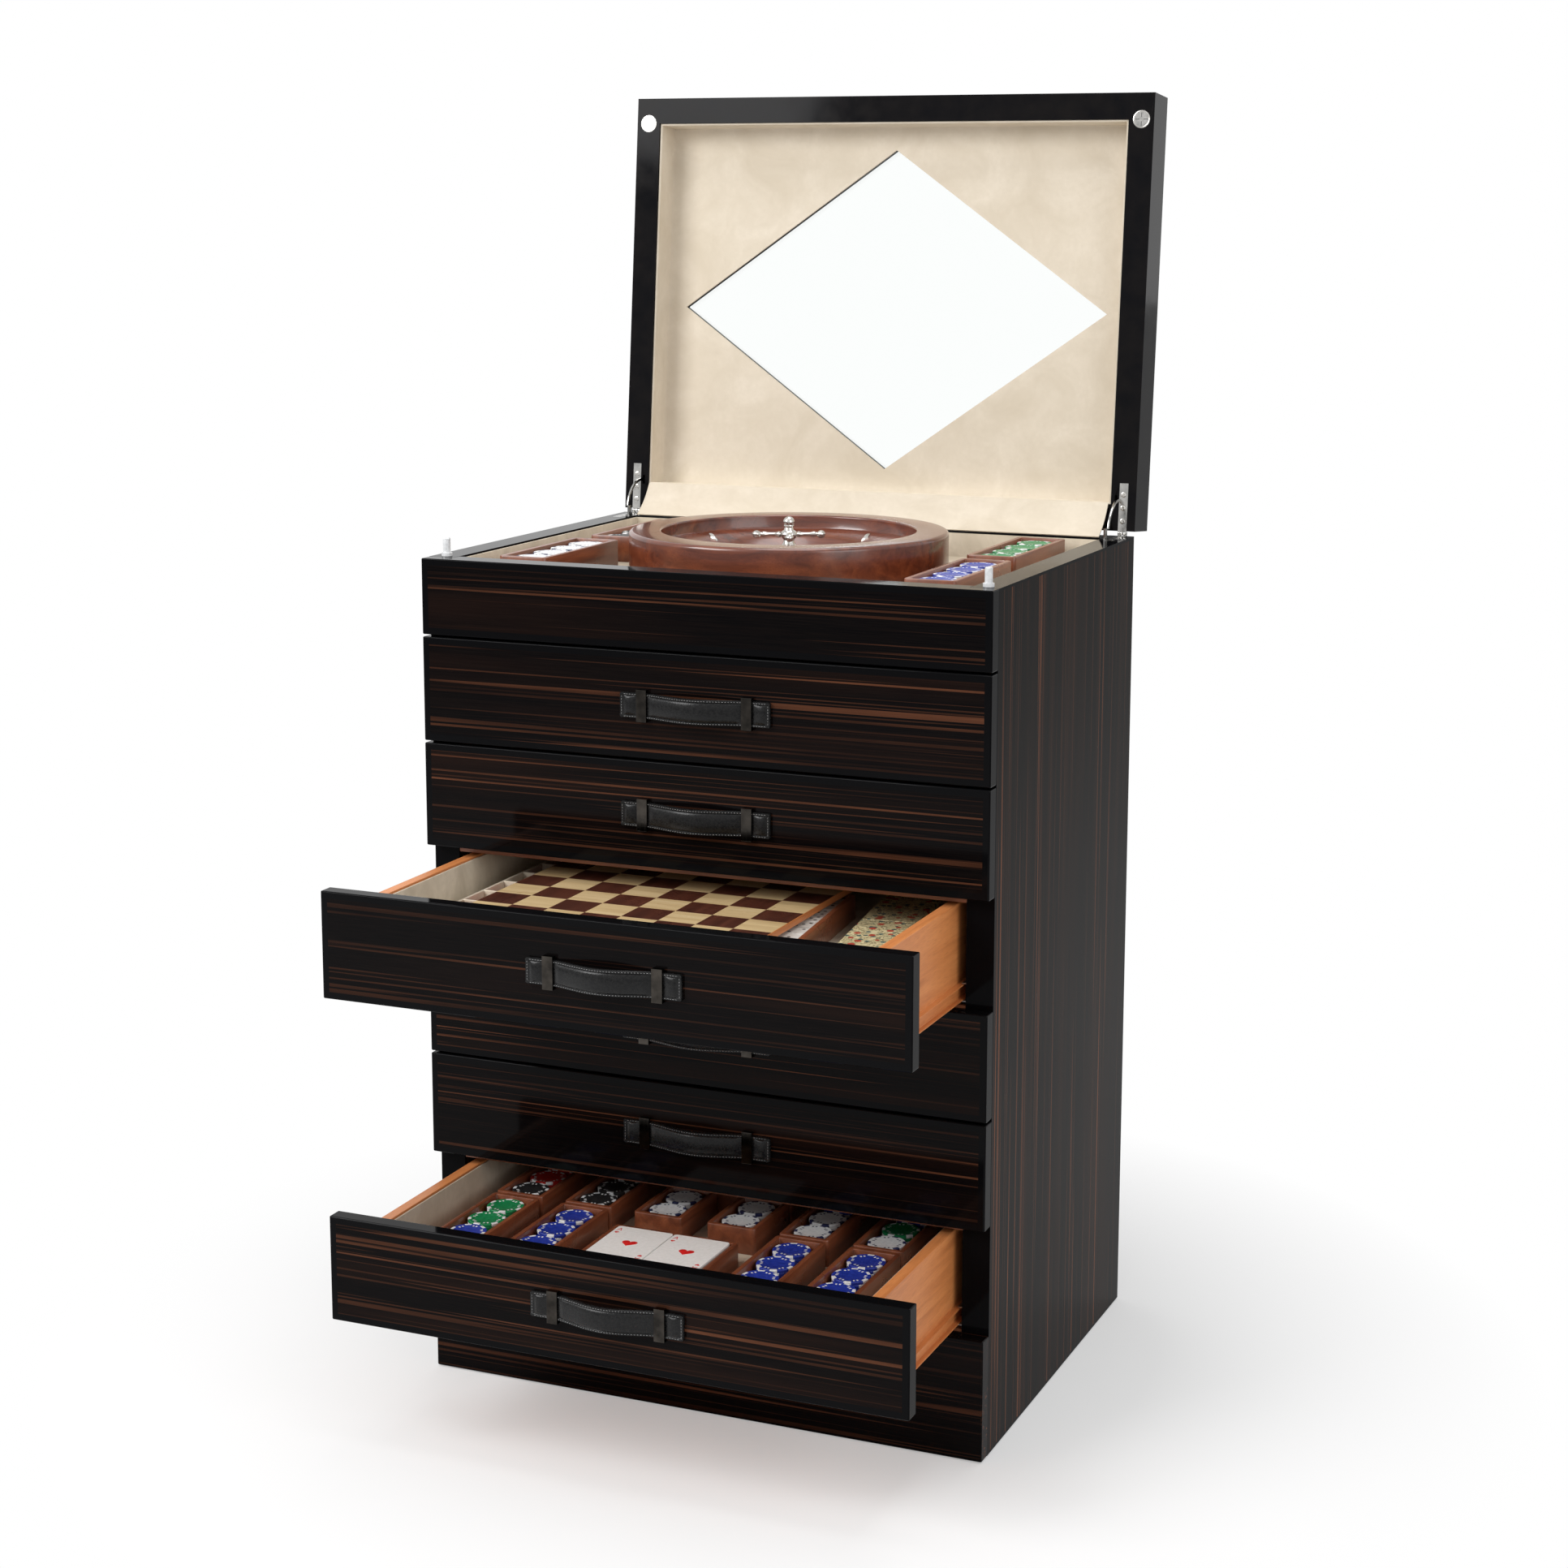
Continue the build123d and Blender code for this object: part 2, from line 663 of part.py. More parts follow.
# ============================ trays, chips and cards ==========================
def tray(x, y, z, length, width):
    """A mahogany tray with its corners cut inside, centred on x and y."""
    slab(x - width / 2, x + width / 2, y - length / 2, y + length / 2, z, z + tray_height)
    with BuildSketch(Plane.XY.offset(z + tray_floor)) as inside:
        with Locations((x, y)):
            Rectangle(width - 2 * tray_wall, length - 2 * tray_wall)
        chamfer(inside.vertices(), tray_cove)
    extrude(inside.sketch, amount=tray_height - tray_floor, mode=Mode.SUBTRACT)


def chip_stacks(x, y, z, count):
    with BuildSketch(Plane.XY.offset(z + tray_floor)) as piles:
        with Locations((x, y)):
            with GridLocations(0, chip_pitch, 1, count):
                RegularPolygon(chip_radius, chip_sides)
    extrude(piles.sketch, amount=tray_height - tray_floor - chips_below_rim)


# Each side of the wheel has a front and a back tray, spaced out in the room that is left.
spare_x = inner_half - lining_thickness - bowl_radius - tray_width
spare_y = rim_back - rim_front - 2 * lining_thickness - 2 * tray_length
front_tray_x = bowl_radius + spare_x * 0.5 + tray_width / 2
back_tray_x = bowl_radius + spare_x * 0.4 + tray_width / 2
front_tray_y = rim_front + lining_thickness + spare_y * 0.4 + tray_length / 2
back_tray_y = rim_back - lining_thickness - spare_y * 0.2 - tray_length / 2
top_tray_places = [(-front_tray_x, front_tray_y), (front_tray_x, front_tray_y),
                   (-back_tray_x, back_tray_y), (back_tray_x, back_tray_y)]

with BuildPart() as top_trays:
    for place in top_tray_places:
        tray(place[0], place[1], compartment_floor, tray_length, tray_width)
save(top_trays.part, "top_trays")

with BuildPart() as top_chips:
    for place in top_tray_places:
        chip_stacks(place[0], place[1], compartment_floor, stacks_in_tray)
save(top_chips.part, "top_chips")


# ============================ drawers =========================================
def drawer_shift(number):
    return -open_by if number in open_drawers else 0.0


def drawer_front(number):
    z0 = cell_floor(number)
    overlay_board(f"drawer_{number}_front", z0 + front_gap, z0 + drawer_pitch, front_back_face,
                  drawer_shift(number))


def drawer_box(number):
    """Sides, back, bottom and floor ledgers in one, with a slide rail on each side."""
    y = drawer_shift(number)
    front = front_back_face + y
    z0 = box_floor(number)
    z1 = cell_floor(number) + drawer_pitch - box_below_front
    floor = z1 - box_inside_depth - floor_board
    with BuildPart() as box:
        slab(-box_half, box_half, front, box_back + y, z0, z1)
        slab(-box_inner_half, box_inner_half, front, box_back_inner + y, z0, z1, Mode.SUBTRACT)
        slab(-box_inner_half, box_inner_half, front, box_back_inner + y,
             z0 + box_bottom_inset, z0 + box_bottom_inset + box_bottom)
        for side in (-1, 1):
            slab(side * box_inner_half, side * (box_inner_half - ledger), front,
                 box_back_inner + y, floor - ledger, floor)
        for side in (-1, 1):
            rail_height = slide_height - 2 * slide_sheet - 2 * slide_play
            channel(side * box_half, side, rail_depth, rail_height,
                    z0 + slide_lift + slide_sheet + slide_play, carcase_front + slide_setback + y)
    save(box.part, f"drawer_{number}_box")


rib_x = -(box_inner_half - lining_thickness) + side_bay


def drawer_lining(number, partitions=False):
    """The suede-covered floor board with its four lined walls."""
    y = drawer_shift(number)
    front = front_back_face + y
    top = cell_floor(number) + drawer_pitch - box_below_front
    floor = top - box_inside_depth
    with BuildPart() as lining:
        slab(-box_inner_half, box_inner_half, front, box_back_inner + y, floor - floor_board,
             top - lining_below_rim)
        slab(-box_inner_half + lining_thickness, box_inner_half - lining_thickness,
             front + lining_thickness, box_back_inner + y - lining_thickness, floor, top,
             Mode.SUBTRACT)
        if partitions:
            rib_top = floor + rib_height
            slab(rib_x, rib_x + lining_thickness, front, box_back_inner + y, floor, rib_top)
            for k in range(rib_count):
                cross = front + rib_start + k * rib_pitch
                slab(rib_x, rib_x + rib_reach, cross, cross + lining_thickness, floor, rib_top)
    save(lining.part, f"drawer_{number}_lining")


def strap_face(standoff):
    """One face of the strap, from end to end: flat ends and a raised-cosine bow."""
    reach = loop_spacing / 2
    bow = []
    for k in range(strap_steps + 1):
        x = reach * (2 * k / strap_steps - 1)
        bow.append((x, standoff + strap_bow * (1 + cos(radians(180) * x / reach)) / 2))
    return [(-strap_length / 2, standoff), *bow, (strap_length / 2, standoff)]


def handle_plane(number, z_offset):
    """Looks down on the handle: x across, y outwards from the drawer front."""
    z = cell_floor(number) + (front_gap + drawer_pitch) / 2 + z_offset
    y = case_front + drawer_shift(number)
    return Plane(origin=(0, y, z), x_dir=(1, 0, 0), z_dir=(0, 0, -1))


def drawer_strap(number):
    with BuildPart() as strap:
        with BuildSketch(handle_plane(number, strap_width / 2)):
            with BuildLine():
                Polyline(*strap_face(0), *reversed(strap_face(strap_thickness)), close=True)
            make_face()
        extrude(amount=strap_width)
    save(strap.part, f"drawer_{number}_strap")


def drawer_loops(number):
    """Two flat metal staples that hold the strap to the front."""
    inside = strap_thickness + loop_play
    outside = inside + loop_sheet
    with BuildPart() as loops:
        for side in (-1, 1):
            x = side * loop_spacing / 2
            with BuildSketch(handle_plane(number, loop_height / 2)):
                with Locations((x, outside / 2)):
                    Rectangle(loop_width, outside)
            extrude(amount=loop_height)
            with BuildSketch(handle_plane(number, loop_height / 2 - loop_sheet)):
                with Locations((x, inside / 2)):
                    Rectangle(loop_width, inside)
            extrude(amount=loop_height - 2 * loop_sheet, mode=Mode.SUBTRACT)
    save(loops.part, f"drawer_{number}_loops")


for number in range(1, drawer_count + 1):
    drawer_front(number)
    drawer_box(number)
    drawer_lining(number, number == 3)
    drawer_strap(number)
    drawer_loops(number)


# ============================ contents of drawer 3 ============================
def drawer_floor(number):
    return cell_floor(number) + drawer_pitch - box_below_front - box_inside_depth


def inside_front(number):
    return front_back_face + lining_thickness + drawer_shift(number)


drawer_side = box_inner_half - lining_thickness
board_x = drawer_side - board_inset
board_y = inside_front(3) + board_reach + 4 * square
board_foot = drawer_floor(3) + rib_height

with BuildPart() as chessboard:
    slab(board_x - 4 * square, board_x + 4 * square, board_y - 4 * square, board_y + 4 * square,
         board_foot, board_foot + board_thickness)
    chamfer(chessboard.faces().sort_by(Axis.Z)[-1].edges(), edge_bevel)
save(chessboard.part, "chessboard")


def turned_plane(x, y, z, angle):
    return Plane(origin=(x, y, z), x_dir=(cos(radians(angle)), sin(radians(angle)), 0),
                 z_dir=(0, 0, 1))


domino_plane = turned_plane(drawer_side - domino_inset, inside_front(3) + domino_reach,
                            drawer_floor(3), domino_turn)
domino_box_height = rib_height - 0.2

with BuildPart() as domino_box:
    with BuildSketch(domino_plane):
        Rectangle(domino_box_width, domino_box_length)
    extrude(amount=domino_box_height)
    with BuildSketch(domino_plane.offset(tray_floor)):
        Rectangle(domino_box_width - 2 * domino_wall, domino_box_length - 2 * domino_wall)
    extrude(amount=domino_box_height, mode=Mode.SUBTRACT)
save(domino_box.part, "domino_box")

with BuildPart() as game_pieces:
    with BuildSketch(domino_plane.offset(tray_floor)):
        with GridLocations(domino_width + domino_gap, domino_length + domino_gap, 2, 4):
            Rectangle(domino_width, domino_length)
    extrude(amount=2 * domino_thickness)
    with BuildSketch(Plane.XY.offset(drawer_floor(3))):
        for k in range(rib_count - 1):
            cross = front_back_face + drawer_shift(3) + rib_start + lining_thickness / 2
            with Locations((rib_x + checker_inset, cross + (k + 0.5) * rib_pitch)):
                RegularPolygon(checker_radius, chip_sides)
    extrude(amount=2 * checker_height)
save(game_pieces.part, "game_pieces")

pack_plane = turned_plane(drawer_side - pack_inset, inside_front(3) + pack_reach,
                          drawer_floor(3), pack_turn)

with BuildPart() as card_packs:
    for end in (-1, 1):
        with BuildSketch(pack_plane):
            with Locations((0, end * (pack_length + 1) / 2)):
                Rectangle(pack_width, pack_length)
        extrude(amount=pack_thickness)
save(card_packs.part, "card_packs")

# ============================ contents of drawer 6 ============================
deck_tray_half = deck_width + deck_gap / 2 + tray_wall + deck_play
outer_column = drawer_side - column_margin - tray_width / 2
inner_column = deck_tray_half - tray_width / 2
middle_column = (outer_column + inner_column) / 2
column_x = (-outer_column, -middle_column, -inner_column, inner_column, middle_column, outer_column)
front_row = inside_front(6) + row_margin + tray_length / 2
back_row = front_row + tray_length + row_gap
deck_tray_length = deck_length + 2 * (tray_wall + deck_play)
front_deck_y = front_row + tray_length / 2 - front_deck_setback - deck_tray_length / 2
short_stacks = 2
short_length = short_stacks * chip_pitch + 2 * tray_wall + deck_play
short_row = back_row - tray_length / 2 + short_length / 2
back_deck_y = short_row + short_length / 2 + row_gap + deck_tray_length / 2
full_columns = (0, 1, 4, 5)
short_columns = (2, 3)

with BuildPart() as chip_trays:
    for column in full_columns:
        tray(column_x[column], front_row, drawer_floor(6), tray_length, tray_width)
        tray(column_x[column], back_row, drawer_floor(6), tray_length, tray_width)
    for column in short_columns:
        tray(column_x[column], short_row, drawer_floor(6), short_length, tray_width)
    for deck_y in (front_deck_y, back_deck_y):
        tray(0, deck_y, drawer_floor(6), deck_tray_length, 2 * deck_tray_half)
save(chip_trays.part, "chip_trays")

with BuildPart() as drawer_chips:
    for column in full_columns:
        chip_stacks(column_x[column], front_row, drawer_floor(6), stacks_in_tray)
        chip_stacks(column_x[column], back_row, drawer_floor(6), stacks_in_tray)
    for column in short_columns:
        chip_stacks(column_x[column], short_row, drawer_floor(6), short_stacks)
save(drawer_chips.part, "drawer_chips")

with BuildPart() as card_decks:
    with BuildSketch(Plane.XY.offset(drawer_floor(6) + tray_floor)):
        for deck_y in (front_deck_y, back_deck_y):
            for side in (-1, 1):
                with Locations((side * (deck_width + deck_gap) / 2, deck_y)):
                    Rectangle(deck_width, deck_length)
    extrude(amount=tray_height - tray_floor + deck_play)
save(card_decks.part, "card_decks")
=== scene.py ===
import bmesh
import bpy
import math
import random
from mathutils import Matrix, Vector


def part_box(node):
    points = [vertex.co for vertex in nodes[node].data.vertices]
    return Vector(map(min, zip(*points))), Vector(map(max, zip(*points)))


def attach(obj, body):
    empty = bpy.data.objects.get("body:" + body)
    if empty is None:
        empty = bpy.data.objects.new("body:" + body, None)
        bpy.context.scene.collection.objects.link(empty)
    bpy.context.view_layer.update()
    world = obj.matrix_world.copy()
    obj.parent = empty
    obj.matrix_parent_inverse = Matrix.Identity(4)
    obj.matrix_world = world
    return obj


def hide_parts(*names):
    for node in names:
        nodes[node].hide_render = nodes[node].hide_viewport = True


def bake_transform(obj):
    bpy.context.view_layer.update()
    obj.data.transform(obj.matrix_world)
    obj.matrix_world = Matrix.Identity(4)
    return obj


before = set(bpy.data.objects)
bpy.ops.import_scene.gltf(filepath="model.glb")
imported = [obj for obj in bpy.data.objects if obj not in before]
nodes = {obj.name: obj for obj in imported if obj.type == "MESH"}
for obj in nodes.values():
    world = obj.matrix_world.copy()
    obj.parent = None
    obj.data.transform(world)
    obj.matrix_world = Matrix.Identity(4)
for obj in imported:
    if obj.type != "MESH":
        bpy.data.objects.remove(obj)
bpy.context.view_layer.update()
MM = 0.001
seeded = random.Random(11)

# ==== sizes, in millimetres ====
front_face = -245.0
drawer_cells = {number: 131.0 + (6 - number) * 115.0 for number in range(1, 7)}
drawer_shift = {1: 0.0, 2: 0.0, 3: -214.0, 4: 0.0, 5: 0.0, 6: -214.0}
lining_outer = 268.0
lining_wall = 2.5
lining_front = -227.6
lining_back = 212.0
lining_floor = 58.5
lining_top = 105.0
compartment_floor = 875.0
hinge_y = 247.5
hinge_z = 907.5
tray_size = (56.0, 178.0, 29.0)
tray_wall = 5.5
tray_floor = 3.0
chip_radius = 20.0
chip_thickness = 3.3
chip_pitch = 41.5
chips_in_stack = 7
stack_rise = 1.015             # share of a chip's thickness that each adds to a stack
strap_length = 169.0
strap_width = 26.5
strap_thickness = 4.0
strap_bow = 13.0
loop_x = 59.25
strap_height = 58.75
strap_play = 0.3
strap_sections = 112
edge_stitches = 54
bowl_radius = 175.0
rib_count = 9
rib_pitch = 44.0
rib_reach = 60.0
rib_x = -232.0
rib_front = -436.35
rib_level = 71.7
rib_height = 26.4
rib_thickness = 2.5
bay_middle = -222.0            # of the lining's wall that closes the ribs' bay
bay_length = 438.0
draught_x = -212.0
draught_front = -414.35
lining_corner = 1.5
case_top = 905.0
case_back = 245.0
recess_half = (290.5, 215.5)   # outside of the lining, in the lid and in the compartment
window_half = (264.5, 186.5)
lid_middle = 245.0
lid_steps = 96
hinge_offset_up = 2.5          # from the hinge's axis up to the lid's edge
hinge_offset_back = 1.9        # from the lid's face back to the axis
lean_sine = 0.0924             # of the open lid's lean, 5.3 degrees
lean_cosine = 0.9957
hinge_x = 305.25
screw_reach = (11.0, 26.0, 41.0)
screw_radius = 3.0
disc_reach = 460.5
deck_height = 27.2
deck_x = 32.25
card_half = (31.4, 43.9)
card_corner = 3.5
pocket_count = 37
fret_circle = 80.5
deflector_count = 8
deflector_circle = 122.0
arm_level = 919.0
arm_turn = 24                  # degrees
sharp_angle = 32               # degrees between faces that still shade smooth
bevel_angle = 34
weld_reach = 0.00002           # metres


# ==== node materials ====
class Tree:
    """A node tree with short ways to add nodes and to set or link what they take."""

    def __init__(self, owner):
        owner.use_nodes = True
        self.tree = owner.node_tree

    def fill(self, node, inputs):
        """Gives a node's inputs, by name or number, their values or the sockets that feed them."""
        for name, value in inputs.items():
            if isinstance(value, bpy.types.NodeSocket):
                self.tree.links.new(value, node.inputs[name])
            else:
                node.inputs[name].default_value = value
        return node

    def node(self, kind, inputs):
        return self.fill(self.tree.nodes.new(kind), inputs)

    def math(self, operation, *values):
        node = self.node("ShaderNodeMath", dict(enumerate(values)))
        node.operation = operation
        return node.outputs["Value"]

    def span(self, value, low, high, out_low, out_high):
        """Value from low to high, spread from out_low to out_high."""
        node = self.node("ShaderNodeMapRange", {"Value": value, "From Min": low, "From Max": high,
                                                "To Min": out_low, "To Max": out_high})
        return node.outputs["Result"]


class Surface(Tree):
    """A material with short ways to add what a finish needs."""

    def __init__(self, name, colour, roughness=0.5, metallic=0.0, specular=0.5):
        self.material = bpy.data.materials.new(name)
        super().__init__(self.material)
        self.shader = self.tree.nodes["Principled BSDF"]
        self.set({"Base Color": (*colour, 1.0), "Roughness": roughness, "Metallic": metallic,
                  "Specular IOR Level": specular})
        self.place = self.node("ShaderNodeTexCoord", {}).outputs["Object"]
        self.material.diffuse_color = (*colour, 1.0)

    def set(self, inputs):
        self.fill(self.shader, inputs)

    def noise(self, scale, detail=4.0, roughness=0.55, distortion=0.0):
        """Noise in object coordinates, in metres times scale; one number is for every axis."""
        scale = scale if isinstance(scale, tuple) else (scale,) * 3
        mapping = self.node("ShaderNodeMapping", {"Scale": scale, "Vector": self.place})
        texture = self.node("ShaderNodeTexNoise", {
            "Scale": 1.0, "Detail": detail, "Roughness": roughness, "Distortion": distortion,
            "Vector": mapping.outputs["Vector"]})
        return texture.outputs["Fac"]

    def cells(self, scale):
        texture = self.node("ShaderNodeTexVoronoi", {"Scale": scale, "Vector": self.place})
        return texture.outputs["Distance"]

    def ramp(self, value, stops):
        """Colours by value; stops are (position, colour)."""
        node = self.node("ShaderNodeValToRGB", {"Fac": value})
        elements = node.color_ramp.elements
        while len(elements) < len(stops):
            elements.new(0.5)
        for element, (position, colour) in zip(elements, stops):
            element.position = position
            element.color = (*colour, 1.0)
        return node.outputs["Color"]

    def mix(self, factor, first, second):
        """Blends two colours, each a socket or a tuple; 6 and 7 are the node's colour inputs."""
        node = self.node("ShaderNodeMix", {"Factor": factor})
        node.data_type = "RGBA"
        self.fill(node, {number: (*colour, 1.0) if isinstance(colour, tuple) else colour
                         for number, colour in ((6, first), (7, second))})
        return node.outputs[2]

    def colour(self, socket):
        self.set({"Base Color": socket})

    def rough(self, value, low, high):
        """Roughness from low to high as value goes over a noise's usual range."""
        self.set({"Roughness": self.span(value, 0.3, 0.7, low, high)})

    def bump(self, value, depth, strength=1.0):
        node = self.node("ShaderNodeBump", {"Distance": depth * MM, "Strength": strength, "Height": value})
        self.set({"Normal": node.outputs["Normal"]})

    def lacquer(self, weight, roughness):
        self.set({"Coat Weight": weight, "Coat Roughness": roughness})

    def nap(self, weight, tint):
        self.set({"Sheen Weight": weight, "Sheen Roughness": 0.45, "Sheen Tint": (*tint, 1.0)})


def along(axis, lengthwise, crosswise):
    """Noise scale per metre with the grain along one axis."""
    return tuple(lengthwise if index == axis else crosswise for index in range(3))


def grey(value):
    return (value, value, value)


def lacquer_black():
    surface = Surface("lacquer_black", (0.004, 0.004, 0.005), 0.08, specular=0.06)
    haze = surface.noise(38, 5)
    surface.rough(haze, 0.05, 0.11)
    surface.colour(surface.ramp(haze, [(0.3, (0.003, 0.003, 0.004)), (0.7, (0.007, 0.006, 0.006))]))
    surface.bump(surface.noise(7, 2), 0.12, 0.3)
    return surface.material


def ebony(name, axis, low, high, border, richness=1.0, shine=0.05, sides=(0, 2)):
    """Streaked black veneer under gloss lacquer, with a black band inside the box's edges."""
    surface = Surface(name, (0.004, 0.003, 0.003), 0.07, specular=shine)
    bold = surface.noise(along(axis, 1.0, 230), 0.0, 0.4, 0.35)
    thin = surface.noise(along(axis, 1.4, 430), 0.0, 0.4, 0.5)
    haze = surface.noise(along(axis, 1.2, 36), 1.0, 0.5, 0.3)
    fibre = surface.noise(along(axis, 20, 1900), 3, 0.6)
    clumps = surface.noise(along(axis, 0.8, 17), 1.0)
    tone = surface.noise(along(axis, 3.5, 60), 2)
    one = surface.ramp(bold, [(0.672, grey(0)), (0.705, grey(0.9)), (1.0, grey(1))])
    two = surface.ramp(thin, [(0.655, grey(0)), (0.695, grey(0.34)), (1.0, grey(0.42))])
    lines = surface.math("MAXIMUM", one, two)
    broken = surface.span(clumps, 0.40, 0.58, 0.22 * richness, 1.0)
    weight = surface.math("MULTIPLY", lines, broken)
    weight = surface.math("MULTIPLY", weight, surface.span(tone, 0.35, 0.65, 0.45, 1.0))
    weight = surface.math("MULTIPLY", weight, surface.span(fibre, 0.3, 0.7, 0.7, 1.0))
    warm = surface.span(haze, 0.52, 0.74, 0.0, 0.05 * richness)
    weight = surface.math("MAXIMUM", weight, warm)
    ground = surface.ramp(fibre, [(0.35, (0.0018, 0.0016, 0.0020)),
                                  (0.75, (0.0060 * richness, 0.0042 * richness, 0.0038))])
    veneer = surface.mix(weight, ground, (0.135 * richness, 0.050 * richness, 0.025 * richness))
    surface.rough(clumps, 0.045, 0.09)
    if border:
        split = surface.node("ShaderNodeSeparateXYZ", {"Vector": surface.place})
        nearest = None
        for index in sides:
            for sign, edge in ((1, low[index]), (-1, high[index])):
                gap = surface.math("MULTIPLY_ADD", split.outputs[index], sign, -sign * edge)
                nearest = gap if nearest is None else surface.math("MINIMUM", nearest, gap)
        inside = surface.math("GREATER_THAN", nearest, border * MM)
        veneer = surface.mix(inside, (0.003, 0.003, 0.0035), veneer)
    surface.colour(veneer)
    surface.bump(fibre, 0.02, 0.25)
    return surface.material


def timber(name, axis, dark, middle, light, low_gloss, high_gloss, coat=0.0):
    """Straight-grained wood with pores, and broad changes of tone."""
    surface = Surface(name, middle, high_gloss)
    figure = surface.noise(along(axis, 5, 70), 5, 0.6, 0.6)
    pores = surface.noise(along(axis, 60, 1500), 4, 0.65)
    cloud = surface.noise(9, 3)
    tone = surface.ramp(figure, [(0.30, dark), (0.50, middle), (0.70, light)])
    tone = surface.mix(surface.span(pores, 0.52, 0.68, 0.0, 0.75), tone, dark)
    tone = surface.mix(surface.span(cloud, 0.3, 0.7, 0.0, 0.30), tone, middle)
    surface.colour(tone)
    surface.rough(cloud, low_gloss, high_gloss)
    surface.bump(pores, 0.05, 0.35)
    if coat:
        surface.lacquer(coat, 0.08)
    return surface.material


def suede(name, dark, light):
    """Short-napped lining cloth: brushed patches, speckled nap and a soft sheen."""
    surface = Surface(name, light, 0.92, specular=0.15)
    brushed = surface.noise((14, 22, 14), 4, 0.6, 0.7)
    mottled = surface.noise(150, 4, 0.65)
    nap = surface.noise(2600, 2)
    tone = surface.ramp(brushed, [(0.30, dark), (0.66, light)])
    tone = surface.mix(surface.span(mottled, 0.35, 0.7, 0.0, 0.34), tone, dark)
    surface.colour(tone)
    surface.bump(surface.math("ADD", nap, mottled), 0.16, 0.45)
    surface.rough(mottled, 0.84, 0.97)
    surface.nap(0.18, light)
    return surface.material


def black_leather():
    surface = Surface("strap_leather", (0.008, 0.008, 0.009), 0.33, specular=0.22)
    grain = surface.cells(900)
    crease = surface.noise(420, 3, 0.5)
    surface.colour(surface.ramp(crease, [(0.3, (0.003, 0.003, 0.0035)), (0.72, (0.010, 0.010, 0.010))]))
    surface.rough(crease, 0.20, 0.34)
    surface.bump(surface.math("ADD", grain, crease), 0.10, 0.5)
    return surface.material


def metal(name, dark, light, low, high, brushed=300):
    """Polished or brushed metal, a little uneven in tone."""
    surface = Surface(name, light, low, 1.0)
    marks = surface.noise(brushed, 4)
    cloud = surface.noise(60, 3)
    surface.colour(surface.ramp(cloud, [(0.3, dark), (0.7, light)]))
    surface.rough(marks, low, high)
    surface.bump(marks, 0.02, 0.12)
    return surface.material


def clear(name, tint, roughness):
    surface = Surface(name, tint, roughness)
    surface.set({"Transmission Weight": 1.0, "IOR": 1.45})
    surface.rough(surface.noise(45, 3), roughness, roughness + 0.03)
    return surface.material


def moulded(name, dark, light, low=0.30, high=0.48):
    """Pressed plastic or clay composite with faint mottling."""
    surface = Surface(name, light, high)
    mottled = surface.noise(260, 4)
    surface.colour(surface.ramp(mottled, [(0.32, dark), (0.68, light)]))
    surface.rough(mottled, low, high)
    surface.bump(mottled, 0.04, 0.3)
    return surface.material


def card_edges():
    """The sides of a deck: the thin lines of its cards, darker between the cards as painted shade in the
    gaps.
    """
    surface = Surface("card_edges", (0.78, 0.76, 0.71), 0.6)
    leaves = surface.noise((2, 2, 3200), 1)
    surface.colour(surface.ramp(leaves, [(0.36, (0.36, 0.34, 0.31)), (0.60, (0.80, 0.78, 0.73))]))
    surface.bump(leaves, 0.10, 0.5)
    return surface.material


def scroll_print():
    """A generic scattered leaf-and-berry print on cream paper."""
    surface = Surface("scroll_print", (0.62, 0.52, 0.27), 0.5)
    curls = surface.noise(85, 2, 0.5, 2.2)
    berries = surface.cells(70)
    leaves = surface.cells(98)
    paper = surface.ramp(curls, [(0.42, (0.60, 0.50, 0.27)), (0.50, (0.09, 0.06, 0.03)),
                                 (0.53, (0.66, 0.56, 0.32))])
    paper = surface.mix(surface.math("LESS_THAN", leaves, 0.27), paper, (0.06, 0.11, 0.10))
    paper = surface.mix(surface.math("LESS_THAN", berries, 0.27), paper, (0.42, 0.055, 0.03))
    surface.colour(paper)
    surface.rough(curls, 0.38, 0.55)
    surface.bump(curls, 0.03, 0.2)
    return surface.material


cream = suede("lining_cream", (0.59, 0.515, 0.405), (0.70, 0.625, 0.515))
# The same cream cloth made darker: painted shade for the lining inside the compartment and the drawers.
shaded_cream = suede("lining_cream_shaded", (0.50, 0.43, 0.33), (0.68, 0.60, 0.48))
gloss_black = lacquer_black()
leather = black_leather()
thread = moulded("stitch_thread", grey(0.16), grey(0.34), 0.6, 0.8)
steel = metal("zinc_steel", grey(0.36), (0.58, 0.58, 0.57), 0.26, 0.40, (20, 900, 900))
chrome = metal("chrome", (0.46, 0.44, 0.41), (0.66, 0.64, 0.60), 0.06, 0.13)
gunmetal = metal("gunmetal", (0.022, 0.020, 0.018), (0.060, 0.053, 0.046), 0.05, 0.10, (900, 900, 40))
nickel = metal("nickel", (0.28, 0.28, 0.27), (0.46, 0.45, 0.43), 0.12, 0.24)
pane = clear("window_glass", (0.97, 0.99, 0.98), 0.0)
orange_wood = timber("drawer_mahogany", 1, (0.40, 0.125, 0.034), (0.60, 0.215, 0.066),
                     (0.72, 0.285, 0.095), 0.34, 0.46)
carcase_wood = timber("carcase_mahogany", 0, (0.13, 0.04, 0.016), (0.22, 0.072, 0.03),
                      (0.29, 0.10, 0.042), 0.38, 0.5)
tray_wood = timber("tray_mahogany", 1, (0.105, 0.030, 0.014), (0.20, 0.058, 0.025),
                   (0.29, 0.092, 0.038), 0.24, 0.36, 0.2)
bowl_wood = timber("bowl_mahogany", 0, (0.060, 0.012, 0.005), (0.125, 0.028, 0.011),
                   (0.200, 0.050, 0.018), 0.20, 0.30, 0.35)
maple = timber("board_maple", 0, (0.50, 0.34, 0.16), (0.66, 0.48, 0.25),
               (0.74, 0.57, 0.33), 0.26, 0.36, 0.3)
